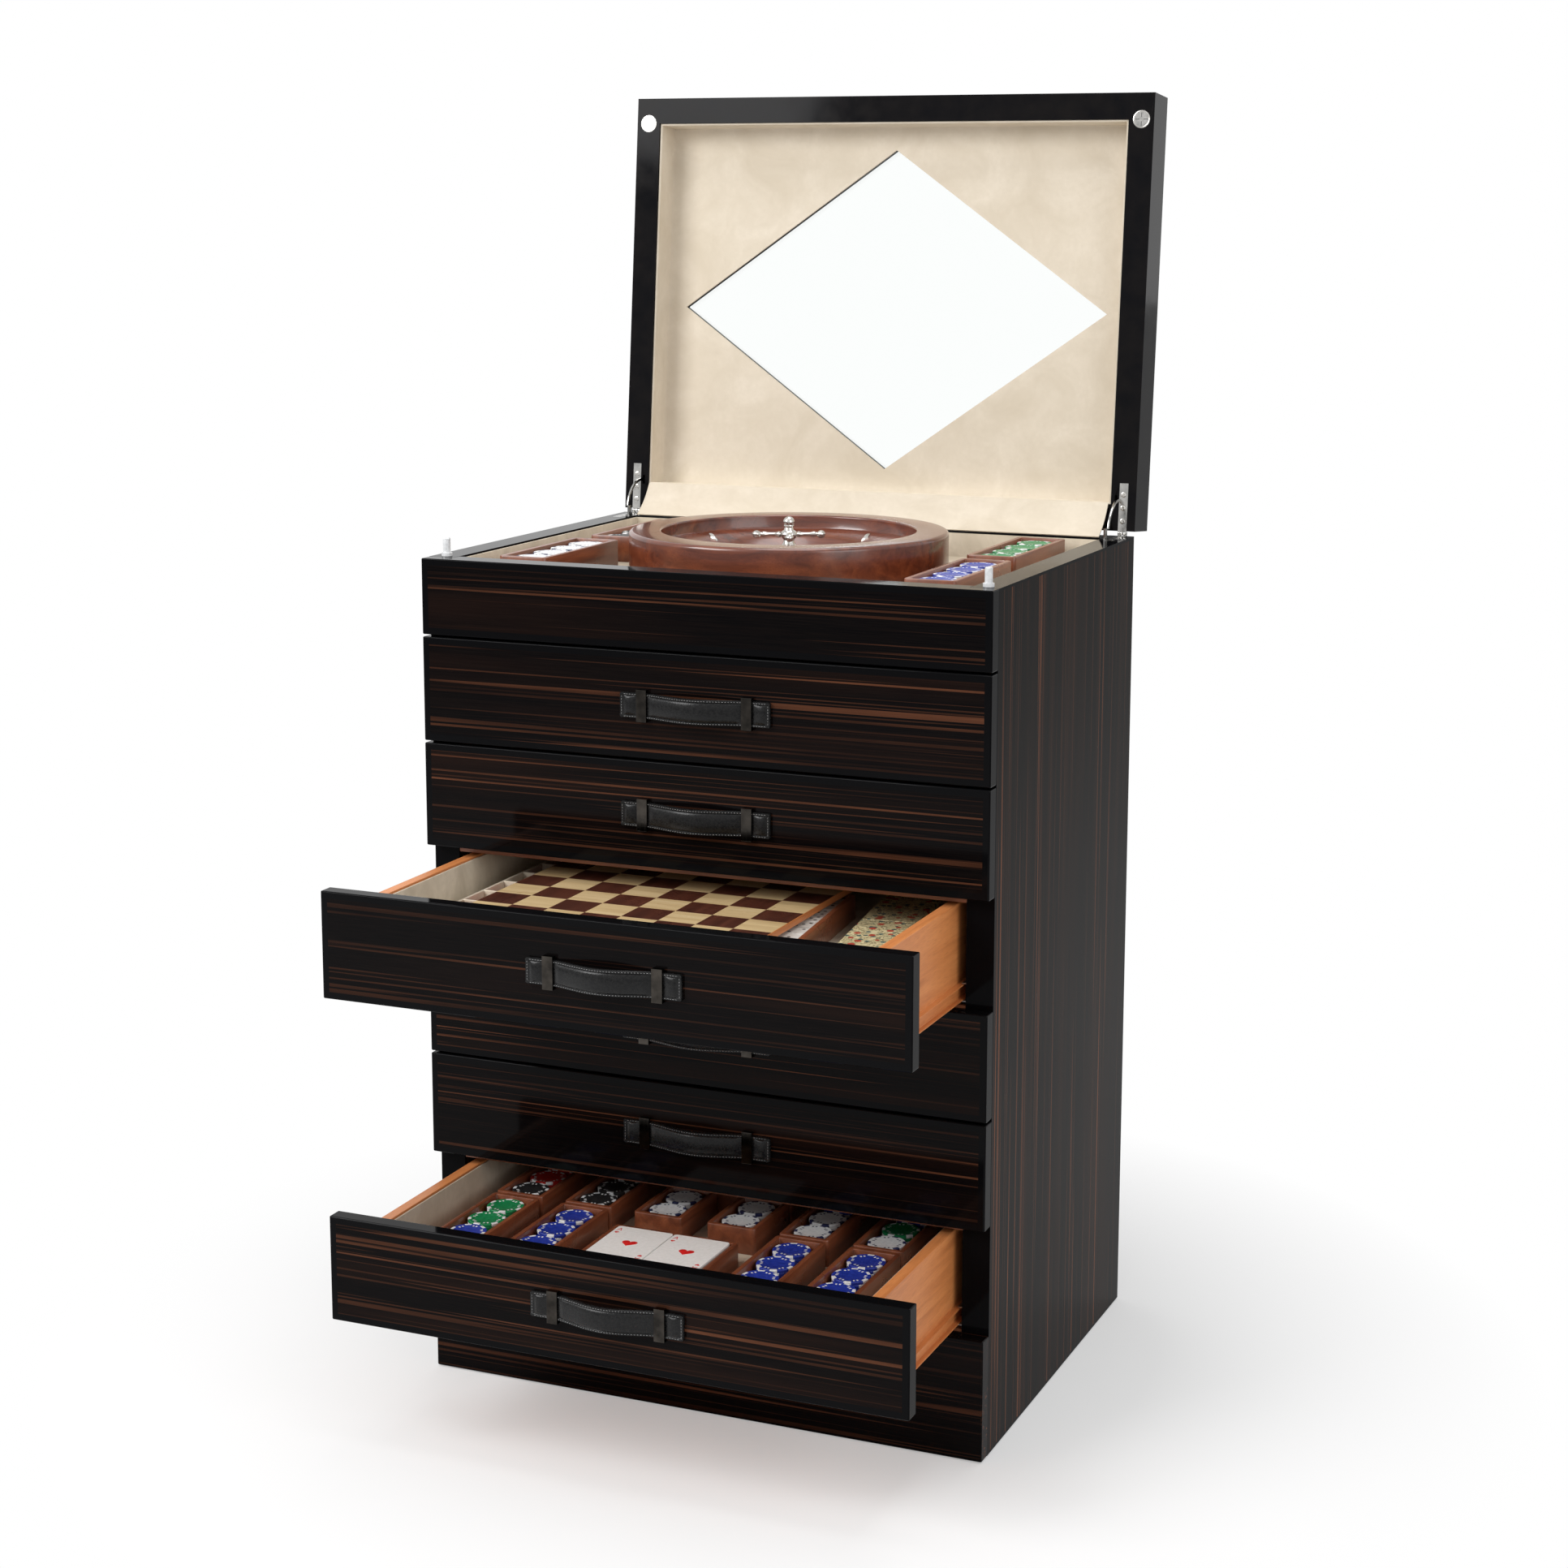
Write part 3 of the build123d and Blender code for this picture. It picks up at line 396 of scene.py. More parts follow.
walnut = timber("board_walnut", 1, (0.035, 0.011, 0.008), (0.075, 0.023, 0.014),
                (0.12, 0.038, 0.022), 0.24, 0.34, 0.3)
white_plastic = moulded("domino_white", (0.66, 0.64, 0.58), (0.80, 0.78, 0.73))
pin_plastic = moulded("pin_plastic", (0.58, 0.59, 0.60), (0.74, 0.75, 0.76), 0.16, 0.26)
black_ink = moulded("pip_black", (0.010, 0.010, 0.010), (0.025, 0.024, 0.024))
red_plastic = moulded("draught_red", (0.42, 0.018, 0.010), (0.60, 0.034, 0.018))
card_paper = moulded("card_face", (0.80, 0.79, 0.76), (0.88, 0.87, 0.85), 0.36, 0.44)
card_red = moulded("card_red", (0.62, 0.012, 0.012), (0.72, 0.022, 0.018), 0.36, 0.44)
deck_side = card_edges()
pack_print = scroll_print()
felt_green = moulded("pocket_green", (0.006, 0.12, 0.035), (0.012, 0.19, 0.06))
chip_colours = {
    "blue": moulded("chip_blue", (0.010, 0.024, 0.235), (0.020, 0.045, 0.36)),
    "green": moulded("chip_green", (0.003, 0.150, 0.045), (0.008, 0.245, 0.080)),
    "white": moulded("chip_white", (0.66, 0.67, 0.67), (0.82, 0.82, 0.82)),
    "black": moulded("chip_black", (0.008, 0.008, 0.009), (0.022, 0.021, 0.021)),
    "red": moulded("chip_red", (0.36, 0.012, 0.009), (0.52, 0.024, 0.016)),
}
chip_navy = moulded("chip_navy", (0.012, 0.016, 0.060), (0.024, 0.030, 0.10))


# ==== mesh building ====
def link(piece):
    bpy.context.scene.collection.objects.link(piece)
    return piece


def circle(count, turn=0.0):
    """Equal angles round a full turn, in radians."""
    return [math.tau * step / count + turn for step in range(count)]


def polar(radius, turn, x=0.0, y=0.0):
    """The place at a radius and an angle about (x, y)."""
    return x + radius * math.cos(turn), y + radius * math.sin(turn)


def turned(x, y, centre, turn):
    """(x, y) turned by an angle in radians and moved to centre."""
    return (centre[0] + x * math.cos(turn) - y * math.sin(turn),
            centre[1] + x * math.sin(turn) + y * math.cos(turn))


def between(first, second, part):
    return tuple(a + (b - a) * part for a, b in zip(first, second))


class Shape:
    """Vertices in millimetres, faces, and a material for each face."""

    def __init__(self):
        self.vertices = []
        self.faces = []
        self.finishes = []
        self.materials = []

    def index(self, material):
        if material not in self.materials:
            self.materials.append(material)
        return self.materials.index(material)

    def add(self, vertices, faces, material):
        start = len(self.vertices)
        self.vertices.extend(vertices)
        self.faces.extend([tuple(start + corner for corner in face) for face in faces])
        self.finishes.extend([self.index(material)] * len(faces))

    def rings(self, rings, material, close_start=True, close_end=True):
        """Skins a list of closed rings, each with the same number of points."""
        count = len(rings[0])
        faces = []
        for row in range(len(rings) - 1):
            for step in range(count):
                after = (step + 1) % count
                faces.append((row * count + step, row * count + after,
                              (row + 1) * count + after, (row + 1) * count + step))
        if close_start:
            faces.append(tuple(range(count))[::-1])
        if close_end:
            last = (len(rings) - 1) * count
            faces.append(tuple(range(last, last + count)))
        self.add([point for ring in rings for point in ring], faces, material)

    def make(self, name, body, replaced=(), slot=None):
        mesh = bpy.data.meshes.new(name)
        mesh.from_pydata([tuple(value * MM for value in vertex) for vertex in self.vertices],
                         [], self.faces)
        for material in self.materials:
            mesh.materials.append(material)
        mesh.polygons.foreach_set("material_index", self.finishes)
        mesh.polygons.foreach_set("use_smooth", [True] * len(self.faces))
        mesh.set_sharp_from_angle(angle=math.radians(sharp_angle))
        mesh.update()
        piece = link(bpy.data.objects.new(name, mesh))
        if body:
            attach(piece, body)
        if replaced:
            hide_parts(*replaced)
        return piece


def rounded_loop(x, y, half_x, half_y, radius, z, steps=5):
    """A ring of points round a rectangle with rounded corners, counter-clockwise."""
    points = []
    for corner, (sign_x, sign_y) in enumerate(((1, 1), (-1, 1), (-1, -1), (1, -1))):
        for step in range(steps + 1):
            angle = math.radians(90 * corner + 90 * step / steps)
            points.append((*polar(radius, angle, x + sign_x * (half_x - radius),
                                  y + sign_y * (half_y - radius)), z))
    return points


def nested(shape, x, y, half_x, half_y, profile, material, corner=3.0):
    """Rounded rectangles that step in by inset and up to z, skinned: (inset, z) rows."""
    shape.rings([rounded_loop(x, y, half_x - inset, half_y - inset, max(corner - inset, 0.6), z)
                 for inset, z in profile], material)


def open_box(shape, x, y, half_x, half_y, z0, z1, wall, floor_thickness, material, corner):
    """A tub with softened rim, rounded corners and a small cove at its floor."""
    soft = min(1.0, wall / 3)
    cove = 1.6
    inner = z0 + floor_thickness
    nested(shape, x, y, half_x, half_y,
           [(soft * 0.6, z0), (0, z0 + soft), (0, z1 - soft), (soft * 0.3, z1 - soft * 0.3),
            (soft, z1), (wall - soft, z1), (wall - soft * 0.3, z1 - soft * 0.3), (wall, z1 - soft),
            (wall, inner + cove), (wall + cove * 0.3, inner + cove * 0.3), (wall + cove, inner)],
           material, corner)


def lathe(shape, profile, material, segments=128, x=0.0, y=0.0, closed=True):
    """Revolves (radius, z) rows about an upright axis."""
    shape.rings([[(*polar(radius, turn, x, y), z) for turn in circle(segments)]
                 for radius, z in profile], material, closed, closed)


def ring_lathe(shape, profile, material, segments):
    """Revolves a closed outline of (radius, z) rows into a ring."""
    lathe(shape, profile + [profile[0]], material, segments, closed=False)


def block(shape, centre, size, material, turn=0.0, soft=0.4):
    """A bevelled bar, turned about the vertical."""
    half = [value / 2 for value in size]
    rings = []
    for inset, level in ((soft, -half[2]), (0, -half[2] + soft), (0, half[2] - soft), (soft, half[2])):
        ring = rounded_loop(0, 0, half[0] - inset, half[1] - inset, max(soft, 0.05), level, 2)
        rings.append([(*turned(x, y, centre, turn), centre[2] + z) for x, y, z in ring])
    shape.rings(rings, material)


# ==== kept CAD pieces ====
def finish_node(name, material, bevel=0.8, segments=2):
    """Softens a CAD node's edges and gives it a finish."""
    piece = nodes[name]
    while len(piece.data.materials) > 0:
        piece.data.materials.pop()
    piece.data.materials.append(material)
    weld = piece.modifiers.new("weld", "WELD")
    weld.merge_threshold = weld_reach
    edges = piece.modifiers.new("edges", "BEVEL")
    edges.width = bevel * MM
    edges.segments = segments
    edges.limit_method = "ANGLE"
    edges.angle_limit = math.radians(bevel_angle)


def veneer_node(name, label, axis, border, *looks, bevel=0.9):
    """Ebony on a CAD node, with a black band of the border's width inside its edges."""
    finish_node(name, ebony(label + "_veneer", axis, *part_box(name), border, *looks), bevel)


def dress_case():
    veneer_node("side_panels", "side", 2, 3, 1.45, 0.025, (1, 2))
    veneer_node("back_panel", "back", 2, 8)
    veneer_node("apron", "apron", 0, 7.5)
    veneer_node("plinth", "plinth", 0, 0)
    finish_node("carcase_boards", carcase_wood, 0.6)
    finish_node("slide_channels", steel, 0.3, 1)
    finish_node("rim_fittings", nickel, 0.25)
    for number in drawer_cells:
        veneer_node(f"drawer_{number}_front", f"front_{number}", 0, 7.5)
        finish_node(f"drawer_{number}_box", orange_wood)
        finish_node(f"drawer_{number}_loops", gunmetal, 0.3)


def dress_lid():
    finish_node("lid_frame", gloss_black, 1.0)
    veneer_node("lid_panel", "lid", 0, 8, bevel=0.8)
    finish_node("lid_glass", pane, 0.4)
    finish_node("lid_hinge_leaves", nickel, 0.25)
    finish_node("strike_discs", nickel, 0.4)
    for side in ("left", "right"):
        finish_node(f"plunger_{side}", pin_plastic, 0.4)


# ==== linings ====
def drawer_lining(number):
    """A cloth-covered tray with rounded inside corners, and ribs in drawer 3."""
    cell = drawer_cells[number]
    floor_thickness = lining_wall + 1.5
    shape = Shape()
    open_box(shape, 0, (lining_front + lining_back) / 2 + drawer_shift[number], lining_outer,
             (lining_back - lining_front) / 2, cell + lining_floor - floor_thickness,
             cell + lining_top, lining_wall, floor_thickness, shaded_cream, lining_corner)
    if number == 3:
        ribs = [(rib_x + rib_reach / 2, rib_front + (index + 0.5) * rib_pitch, rib_reach, rib_thickness)
                for index in range(rib_count)]
        ribs.append((rib_x + rib_thickness / 2, bay_middle, rib_thickness, bay_length))
        for x, y, wide, long in ribs:
            block(shape, (x, y, cell + rib_level), (wide, long, rib_height), shaded_cream, soft=0.7)
    shape.make(f"drawer_{number}_cloth", f"drawer_{number}", (f"drawer_{number}_lining",), "lining")


def compartment_cloth():
    """The lined tub of the top compartment."""
    shape = Shape()
    open_box(shape, 0, 0, *recess_half, compartment_floor - lining_wall, case_top - 2, lining_wall,
             lining_wall, shaded_cream, lining_corner)
    shape.make("compartment_cloth", "case", ("compartment_lining",), "lining")


def lid_point(x, u, depth):
    """A place on the open lid: u up from the hinge edge, depth towards the back."""
    up, back = u + hinge_offset_up, depth - hinge_offset_back
    return (x, hinge_y + up * lean_sine + back * lean_cosine,
            hinge_z + up * lean_cosine - back * lean_sine)


def side_part(step):
    """Walks the lid's four sides in equal steps: the middles of two sides, and the part between."""
    each = lid_steps // 4
    middles = ((0, 1), (1, 0), (0, -1), (-1, 0))
    return middles[step // each], middles[(step // each + 1) % 4], (step % each) / each


def edge_point(step, inset, depth):
    """A place on the recess's outline, stepped in by inset."""
    first, second, part = side_part(step)
    corner = (first[0] + second[0], first[1] + second[1])
    x, u = between(first, corner, part * 2) if part < 0.5 else between(corner, second, part * 2 - 1)
    return lid_point(x * (recess_half[0] - inset), lid_middle + u * (recess_half[1] - inset), depth)


def window_point(step, depth):
    """A place on the pointed window's outline."""
    x, u = between(*side_part(step))
    return lid_point(x * window_half[0], lid_middle + u * window_half[1], depth)


def lid_cloth():
    """The lid's recess: padded side walls and a panel round the pointed window."""
    panel_inset, panel_depth, back_depth = 4.4, 37.5, 40.0
    levels = [(0.0, 2.6), (0.5, 2.0), (1.8, 2.0), (2.5, 2.8), (2.5, 35.4), (3.0, 36.8),
              (panel_inset, panel_depth)]
    steps = range(lid_steps)
    rings = [[edge_point(step, inset, depth) for step in steps] for inset, depth in levels]
    rings += [[between(edge_point(step, panel_inset, panel_depth), window_point(step, panel_depth), part)
               for step in steps] for part in (0.25, 0.5, 0.75, 1.0)]
    rings.append([window_point(step, back_depth) for step in steps])
    rings.append([edge_point(step, 0, back_depth) for step in steps])
    rings.append(rings[0])
    shape = Shape()
    shape.rings(rings, cream, False, False)
    shape.make("lid_cloth", "lid", ("lid_lining",), "lining")


def hinge_cloth():
    """The flap of lining that bridges the case and the lid."""
    low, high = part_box("hinge_gusset")
    start = (low[1] / MM, low[2] / MM)
    end = (high[1] / MM, high[2] / MM)
    half_width, thickness, sag = 288.0, 1.4, 3.0
    slant, tuck = 0.7, 1.0
    rows, columns = 16, 48
    rings = []
    for row in range(rows + 1):
        part = row / rows
        dip = sag * math.sin(math.pi * part) * slant
        y = start[0] + (end[0] - start[0]) * part + dip
        z = start[1] + tuck + (end[1] - start[1] - 2 * tuck) * part - dip
        upper = [(-half_width + 2 * half_width * step / columns, y, z) for step in range(columns + 1)]
        lower = [(x, y + thickness * slant, z - thickness * slant) for x, y, z in upper]
        rings.append(upper + lower[::-1])
    shape = Shape()
    shape.rings(rings, cream)
    piece = shape.make("hinge_cloth", None)
    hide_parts("hinge_gusset")
    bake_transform(piece)


def hinge_screws():
    """Cross-headed screws, set just proud of the hinge leaves, and the strike discs' rings."""
    case_side, lid_side = Shape(), Shape()
    for side in (-1, 1):
        for reach in screw_reach:
            head(case_side, lambda radius, turn, up: (
                *polar(radius, turn, side * hinge_x, case_back - reach), case_top + up))
            head(lid_side, lambda radius, turn, up: lid_point(
                *polar(radius, turn, side * hinge_x, reach), -up))
    for side in (-1, 1):
        disc_ring(lid_side, side)
    case_side.make("case_hinge_screws", "case", (), "chrome")
    lid_side.make("lid_hinge_screws", "lid", (), "chrome")


def head(shape, place):
    """A low domed screw head with a dark cross in it."""
    rows = ((screw_radius, -0.5), (screw_radius, 0.06), (screw_radius * 0.9, 0.16),
            (screw_radius * 0.55, 0.22), (0.2, 0.24))
    shape.rings([[place(radius, turn, up) for turn in circle(24)] for radius, up in rows], chrome)
    for turn in circle(4, 0.6):
        corners = [place(0.1, turn, 0.25), place(1.5, turn - 0.2, 0.25), place(1.7, turn, 0.25),
                   place(1.5, turn + 0.2, 0.25)]
        shape.add(corners, [(0, 1, 2, 3)], black_ink)


def disc_ring(shape, side):
    """A turned ring and four fine cuts on a strike disc, in place of lettering."""
    def place(radius, turn, up):
        return lid_point(*polar(radius, turn, side * hinge_x, disc_reach), -up)

    rows = ((9.6, 0.02), (9.3, 0.14), (8.7, 0.14), (8.4, 0.02))
    shape.rings([[place(radius, turn, up) for turn in circle(48)] for radius, up in rows], chrome,
                False, False)
    for turn in circle(4):
        shape.add([place(2.4, turn - 0.16, 0.05), place(7.4, turn - 0.05, 0.05),
                   place(7.4, turn + 0.05, 0.05), place(2.4, turn + 0.16, 0.05)],
                  [(0, 1, 2, 3)], black_ink)


# ==== leather handles ====
def strap_centre(x):
    """How far the strap's middle stands off the front at x."""
    rest = strap_thickness / 2 + strap_play
    if abs(x) >= loop_x:
        return rest
    return rest + strap_bow * ((1 + math.cos(math.pi * x / loop_x)) / 2) ** 0.8


# Across the strap: part of its half width, of its half thickness, and of its padding.
strap_outline = [(-1.0, -1.0, 0.0), (-1.0, 0.6, 0.0), (-0.96, 1.0, 0.0), (-0.80, 1.0, 0.0),
                 (-0.76, 0.75, 0.0), (-0.70, 0.8, 0.45), (-0.58, 0.8, 0.85), (-0.3, 0.8, 1.1),
                 (0.0, 0.8, 1.2), (0.3, 0.8, 1.1), (0.58, 0.8, 0.85), (0.70, 0.8, 0.45),
                 (0.76, 0.75, 0.0), (0.80, 1.0, 0.0), (0.96, 1.0, 0.0), (1.0, 0.6, 0.0),
                 (1.0, -1.0, 0.0)]


def strap_swell(x):
    """How full the padding is at x: pressed flat under the loops and at the ends."""
    from_loop = abs(abs(x) - loop_x) - 6.0
    from_end = strap_length / 2 - 4.5 - abs(x)
    return max(0.0, min(1.0, from_loop / 7.0, from_end / 3.0))


def strap(number):
    """A padded, stitched strap that bows forward between its two loops."""
    face = front_face + drawer_shift[number]
    level = drawer_cells[number] + strap_height
    end_x = strap_length / 2
    end_share, padding, seam_share, seam_end = 0.93, 1.6, 0.44, 4.4
    shape = Shape()
    rings = []
    for index in range(strap_sections + 1):
        x = -end_x + strap_length * index / strap_sections
        end = end_share if index in (0, strap_sections) else 1.0
        rings.append([(x, face - strap_centre(x) - out * strap_thickness / 2 * end
                       - pad * padding * strap_swell(x), level + across * strap_width / 2 * end)
                      for across, out, pad in strap_outline])
    shape.rings(rings, leather)
    for side in (-1, 1):
        seam = [(-end_x + 4 + (strap_length - 8) * (index + 0.5) / edge_stitches,
                 level + side * strap_width * seam_share, 0) for index in range(edge_stitches)]
        seam += [(side * (end_x - 2.0), level - strap_width / 2 + seam_end
                  + index * (strap_width - 2 * seam_end) / 6, 1) for index in range(7)]
        for x, z, upright in seam:
            stitch(shape, x, face - strap_centre(x) - strap_thickness / 2, z, upright)
    shape.make(f"drawer_{number}_handle_strap", f"drawer_{number}", (f"drawer_{number}_strap",), "leather")


def stitch(shape, x, y, z, upright):
    """One thread stitch that stands just proud of the leather."""
    long, short = 1.0, 0.22
    rings = []
    for part, size in ((-1, 0.4), (-0.6, 1), (0.6, 1), (1, 0.4)):
        spots = [polar(short * size, angle) for angle in circle(6)]
        rings.append([(x + a, y + b, z + part * long) if upright else (x + part * long, y + b, z + a)
                      for a, b in spots])
    shape.rings(rings, thread)


# ==== chips and trays ====
def chip(shape, x, y, base, colour, turn, full):
    """One chip: milled edge spots and, where its top shows, a raised ring and a plain middle."""
    main = chip_colours[colour]
    spot = chip_navy if colour == "white" else chip_colours["white"]
    segments = 48
    high = chip_thickness
    rows = [(chip_radius - 0.5, 0.0, 0), (chip_radius, 0.5, 0), (chip_radius, high - 0.5, 0),
            (chip_radius - 0.5, high, 0)]
    if full:
        rows += [(16.4, high, 1), (16.0, high - 0.15, 1), (13.2, high - 0.15, 2),
                 (12.8, high - 0.3, 2), (4.0, high - 0.3, 2)]
    start = len(shape.vertices)
    for radius, z, _ in rows:
        shape.vertices += [(*polar(radius, angle, x, y), base + z) for angle in circle(segments, turn)]
    for row in range(len(rows) - 1):
        near, far = start + row * segments, start + (row + 1) * segments
        for step in range(segments):
            after = (step + 1) % segments
            shape.faces.append((near + step, near + after, far + after, far + step))
            rim = row < 4 and rows[row + 1][2] < 2 and step % 8 in (0, 1, 2)
            marked = rim or (row == 5 and step % 8 in (4, 6))
            shape.finishes.append(shape.index(spot if marked else main))
    last = start + (len(rows) - 1) * segments
    shape.faces += [tuple(range(last, last + segments)), tuple(range(start, start + segments))[::-1]]
    shape.finishes += [shape.index(main)] * 2


def chip_stack(shape, x, y, floor, colour):
    for index in range(chips_in_stack):
        shift_x = seeded.uniform(-0.25, 0.25)
        shift_y = seeded.uniform(-0.25, 0.25)
        chip(shape, x + shift_x, y + shift_y, floor + index * chip_thickness * stack_rise, colour,
             seeded.uniform(0, math.tau), index == chips_in_stack - 1)


def tray_tub(shape, x, y, floor, length, width):
    open_box(shape, x, y, width / 2, length / 2, floor, floor + tray_size[2], tray_wall, tray_floor,
             tray_wood, 4.0)


def chip_tray(trays, chips, x, y, floor, colours, length=tray_size[1]):
    """A tray, and a row of one stack for each colour."""
    tray_tub(trays, x, y, floor, length, tray_size[0])
    for index, colour in enumerate(colours):
        along_tray = (index - (len(colours) - 1) / 2) * chip_pitch
        chip_stack(chips, x, y + along_tray, floor + tray_floor, colour)


top_places = {(-231.5, -96.0): ("white",) * 4, (231.5, -96.0): ("blue",) * 4,
              (225.8, 110.0): ("green",) * 4, (-225.8, 110.0): ("black", "black", "red", "red")}


def top_contents():
    trays, chips = Shape(), Shape()
    for (x, y), colours in top_places.items():
        chip_tray(trays, chips, x, y, compartment_floor, colours)
    trays.make("top_tray_tubs", "case", ("top_trays",), "mahogany")
    chips.make("top_chip_stacks", "case", ("top_chips",), "chip")


column_x = (-208.0, -125.3, -42.65, 42.65, 125.3, 208.0)
front_row, back_row, short_row = -348.6, -166.6, -207.9
short_length = 95.4
deck_rows = (-346.5, -105.3)
deck_tray = (101.8, 141.3)
drawer_six_floor = 189.5
drawer_chip_colours = {
    (0, front_row): ("blue", "blue", "green", "green"), (1, front_row): ("blue",) * 4,
    (4, front_row): ("blue",) * 4, (5, front_row): ("blue",) * 4,
    (0, back_row): ("black", "red", "red", "red"), (1, back_row): ("black",) * 4,
    (4, back_row): ("white", "white", "blue", "blue"), (5, back_row): ("white", "green", "blue", "blue"),
}


def drawer_six_contents():
    trays, chips = Shape(), Shape()
    for (column, y), colours in drawer_chip_colours.items():
        chip_tray(trays, chips, column_x[column], y, drawer_six_floor, colours)
    for column in (2, 3):
        chip_tray(trays, chips, column_x[column], short_row, drawer_six_floor, ("white",) * 2, short_length)
    for y in deck_rows:
        tray_tub(trays, 0, y, drawer_six_floor, *deck_tray)
    trays.make("drawer_6_tray_tubs", "drawer_6", ("chip_trays",), "mahogany")
    chips.make("drawer_6_chip_stacks", "drawer_6", ("drawer_chips",), "chip")


def heart(size, x, y, z, turn=0.0):
    points = []
    for t in circle(40):
        px = 16 * math.sin(t) ** 3 * size / 32
        py = (13 * math.cos(t) - 5 * math.cos(2 * t) - 2 * math.cos(3 * t) - math.cos(4 * t)) * size / 32
        points.append((*turned(px, py, (x, y), turn), z))
    return points


def card_ace(shape, x, y, top):
    """The top card's print: a heart, and an A over a small heart in two corners."""
    corner_x, heart_y, bar_y, letter_y, ink = 26, 26, 33.4, 34.5, 0.06
    for size, dx, dy, turn in ((17, 0, 2, 0), (5, -corner_x, heart_y, 0),
                               (5, corner_x, -heart_y, math.pi)):
        low = heart(size, x + dx, y + dy, top, turn)
        shape.rings([low, heart(size * 0.98, x + dx, y + dy, top + ink, turn)], card_red)
    for sign in (1, -1):
        for lean in (-1, 1):
            block(shape, (x - sign * (corner_x - lean * 1.25), y + sign * letter_y, top + ink / 2),
                  (0.9, 7.4, ink), card_red, math.pi * (sign < 0) + math.radians(18) * lean, 0.02)
        block(shape, (x - sign * corner_x, y + sign * bar_y, top + ink / 2), (3.0, 0.8, ink), card_red,
              0, 0.02)


def decks():
    """Four decks of cards with slightly uneven sides, and an ace on top of each."""
    shape = Shape()
    base = drawer_six_floor + tray_floor
    top = base + deck_height
    for y in deck_rows:
        for x in (-deck_x, deck_x):
            loops = []
            for level in range(13):
                slip = 0.12 * math.sin(level * 2.1 + x)
                loops.append(rounded_loop(x + slip, y - slip, *card_half, card_corner,
                                          base + deck_height * level / 13))
            shape.rings(loops, deck_side, True, False)
            shape.rings([loops[-1], rounded_loop(x, y, 31.5, 44, card_corner, top - 0.3),
                         rounded_loop(x, y, *card_half, card_corner, top)], card_paper, False, True)
            card_ace(shape, x, y, top)
    shape.make("drawer_6_card_decks", "drawer_6", ("card_decks",), "card")


# ==== chessboard and its drawer ====
board_centre = (-34.5, -269.1)
board_foot = 561.0
board_top = 568.0
board_half = 166.0
square = 41.5
drawer_three_floor = 534.5


def chessboard():
    x0, y0 = board_centre
    shape = Shape()
    nested(shape, x0, y0, board_half, board_half,
           [(0.4, board_foot), (0, board_foot + 0.4), (0, board_top - 0.6), (0.3, board_top - 0.15),
            (0.8, board_top - 0.02)], orange_wood, 1.2)
    for column in range(8):
        for row in range(8):
            material = maple if (column + row) % 2 else walnut
            x = x0 + (column - 3.5) * (square - 0.2)
            y = y0 + (row - 3.5) * (square - 0.2)
            shape.rings([rounded_loop(x, y, square / 2 - inset, square / 2 - inset, 0.1, board_top + rise, 1)
                         for inset, rise in ((0.12, -0.4), (0.2, 0.12))], material)
    shape.make("inlaid_chessboard", "drawer_3", ("chessboard",), "board")


def dominoes():
    """An open box of dominoes, turned a little in its drawer, and draughts beside the board."""
    centre, turn = (117.0, -259.1), math.radians(5.9)
    tub = Shape()
    open_box(tub, 0, 0, 33, 111, drawer_three_floor, drawer_three_floor + 26.3, 6, 3, tray_wood, 2.0)
    tub.vertices = [(*turned(x, y, centre, turn), z) for x, y, z in tub.vertices]
    tub.make("domino_tub", "drawer_3", ("domino_box",), "mahogany")
    pieces = Shape()
    base = drawer_three_floor + 3
    for column in range(2):
        for row in range(4):
            x, y = turned((column - 0.5) * 26.5, (row - 1.5) * 51.5, centre, turn)
            for level in range(2):
                block(pieces, (x, y, base + 5 + level * 10), (25, 50, 9.9), white_plastic, turn, 1.1)
            domino_pips(pieces, x, y, base + 20, turn, (column * 4 + row * 3) % 6 + 1,
                        (column * 5 + row * 2 + 1) % 6 + 1)
    draught = [(13.2, 0), (14, 0.8), (14, 17.2), (13.4, 18), (10.8, 18), (10.2, 17.3), (3, 17.3)]
    for index in range(8):
        lathe(pieces, [(radius, drawer_three_floor + z) for radius, z in draught],
              red_plastic if index % 4 else black_ink, 48, draught_x,
              draught_front + (index + 0.5) * rib_pitch)
    pieces.make("game_counters", "drawer_3", ("game_pieces",), "piece")


pip_places = {1: ((0, 0),), 2: ((-1, -1), (1, 1)), 3: ((-1, -1), (0, 0), (1, 1)),
              4: ((-1, -1), (-1, 1), (1, -1), (1, 1)), 5: ((-1, -1), (-1, 1), (0, 0), (1, -1), (1, 1)),
              6: ((-1, -1), (-1, 0), (-1, 1), (1, -1), (1, 0), (1, 1))}


def domino_pips(shape, x, y, top, turn, first, second):
    block(shape, (x, y, top + 0.02), (20, 0.8, 0.1), black_ink, turn, 0.03)
    for number, offset in ((first, -12.5), (second, 12.5)):
        for px, py in pip_places[number]:
            cx, cy = turned(px * 6, offset + py * 6, (x, y), turn)
            lathe(shape, [(1.9, top - 0.2), (1.9, top + 0.02), (1.6, top + 0.06)], black_ink, 16, cx, cy)


def packs():
    """Two boxed packs with a printed generic pattern and a thin cream line on their long sides."""
    centre, turn = (201.0, -210.1), math.radians(7.5)
    shape = Shape()
    for end in (-1, 1):
        x, y = turned(0, end * 58.5, centre, turn)
        for size, finish, soft in (((60, 116, 19), pack_print, 1.0), ((60.3, 1.2, 17.4), card_paper, 0.3)):
            block(shape, (x, y, drawer_three_floor + 9.5), size, finish, turn, soft)
    shape.make("printed_card_packs", "drawer_3", ("card_packs",), "card_box")


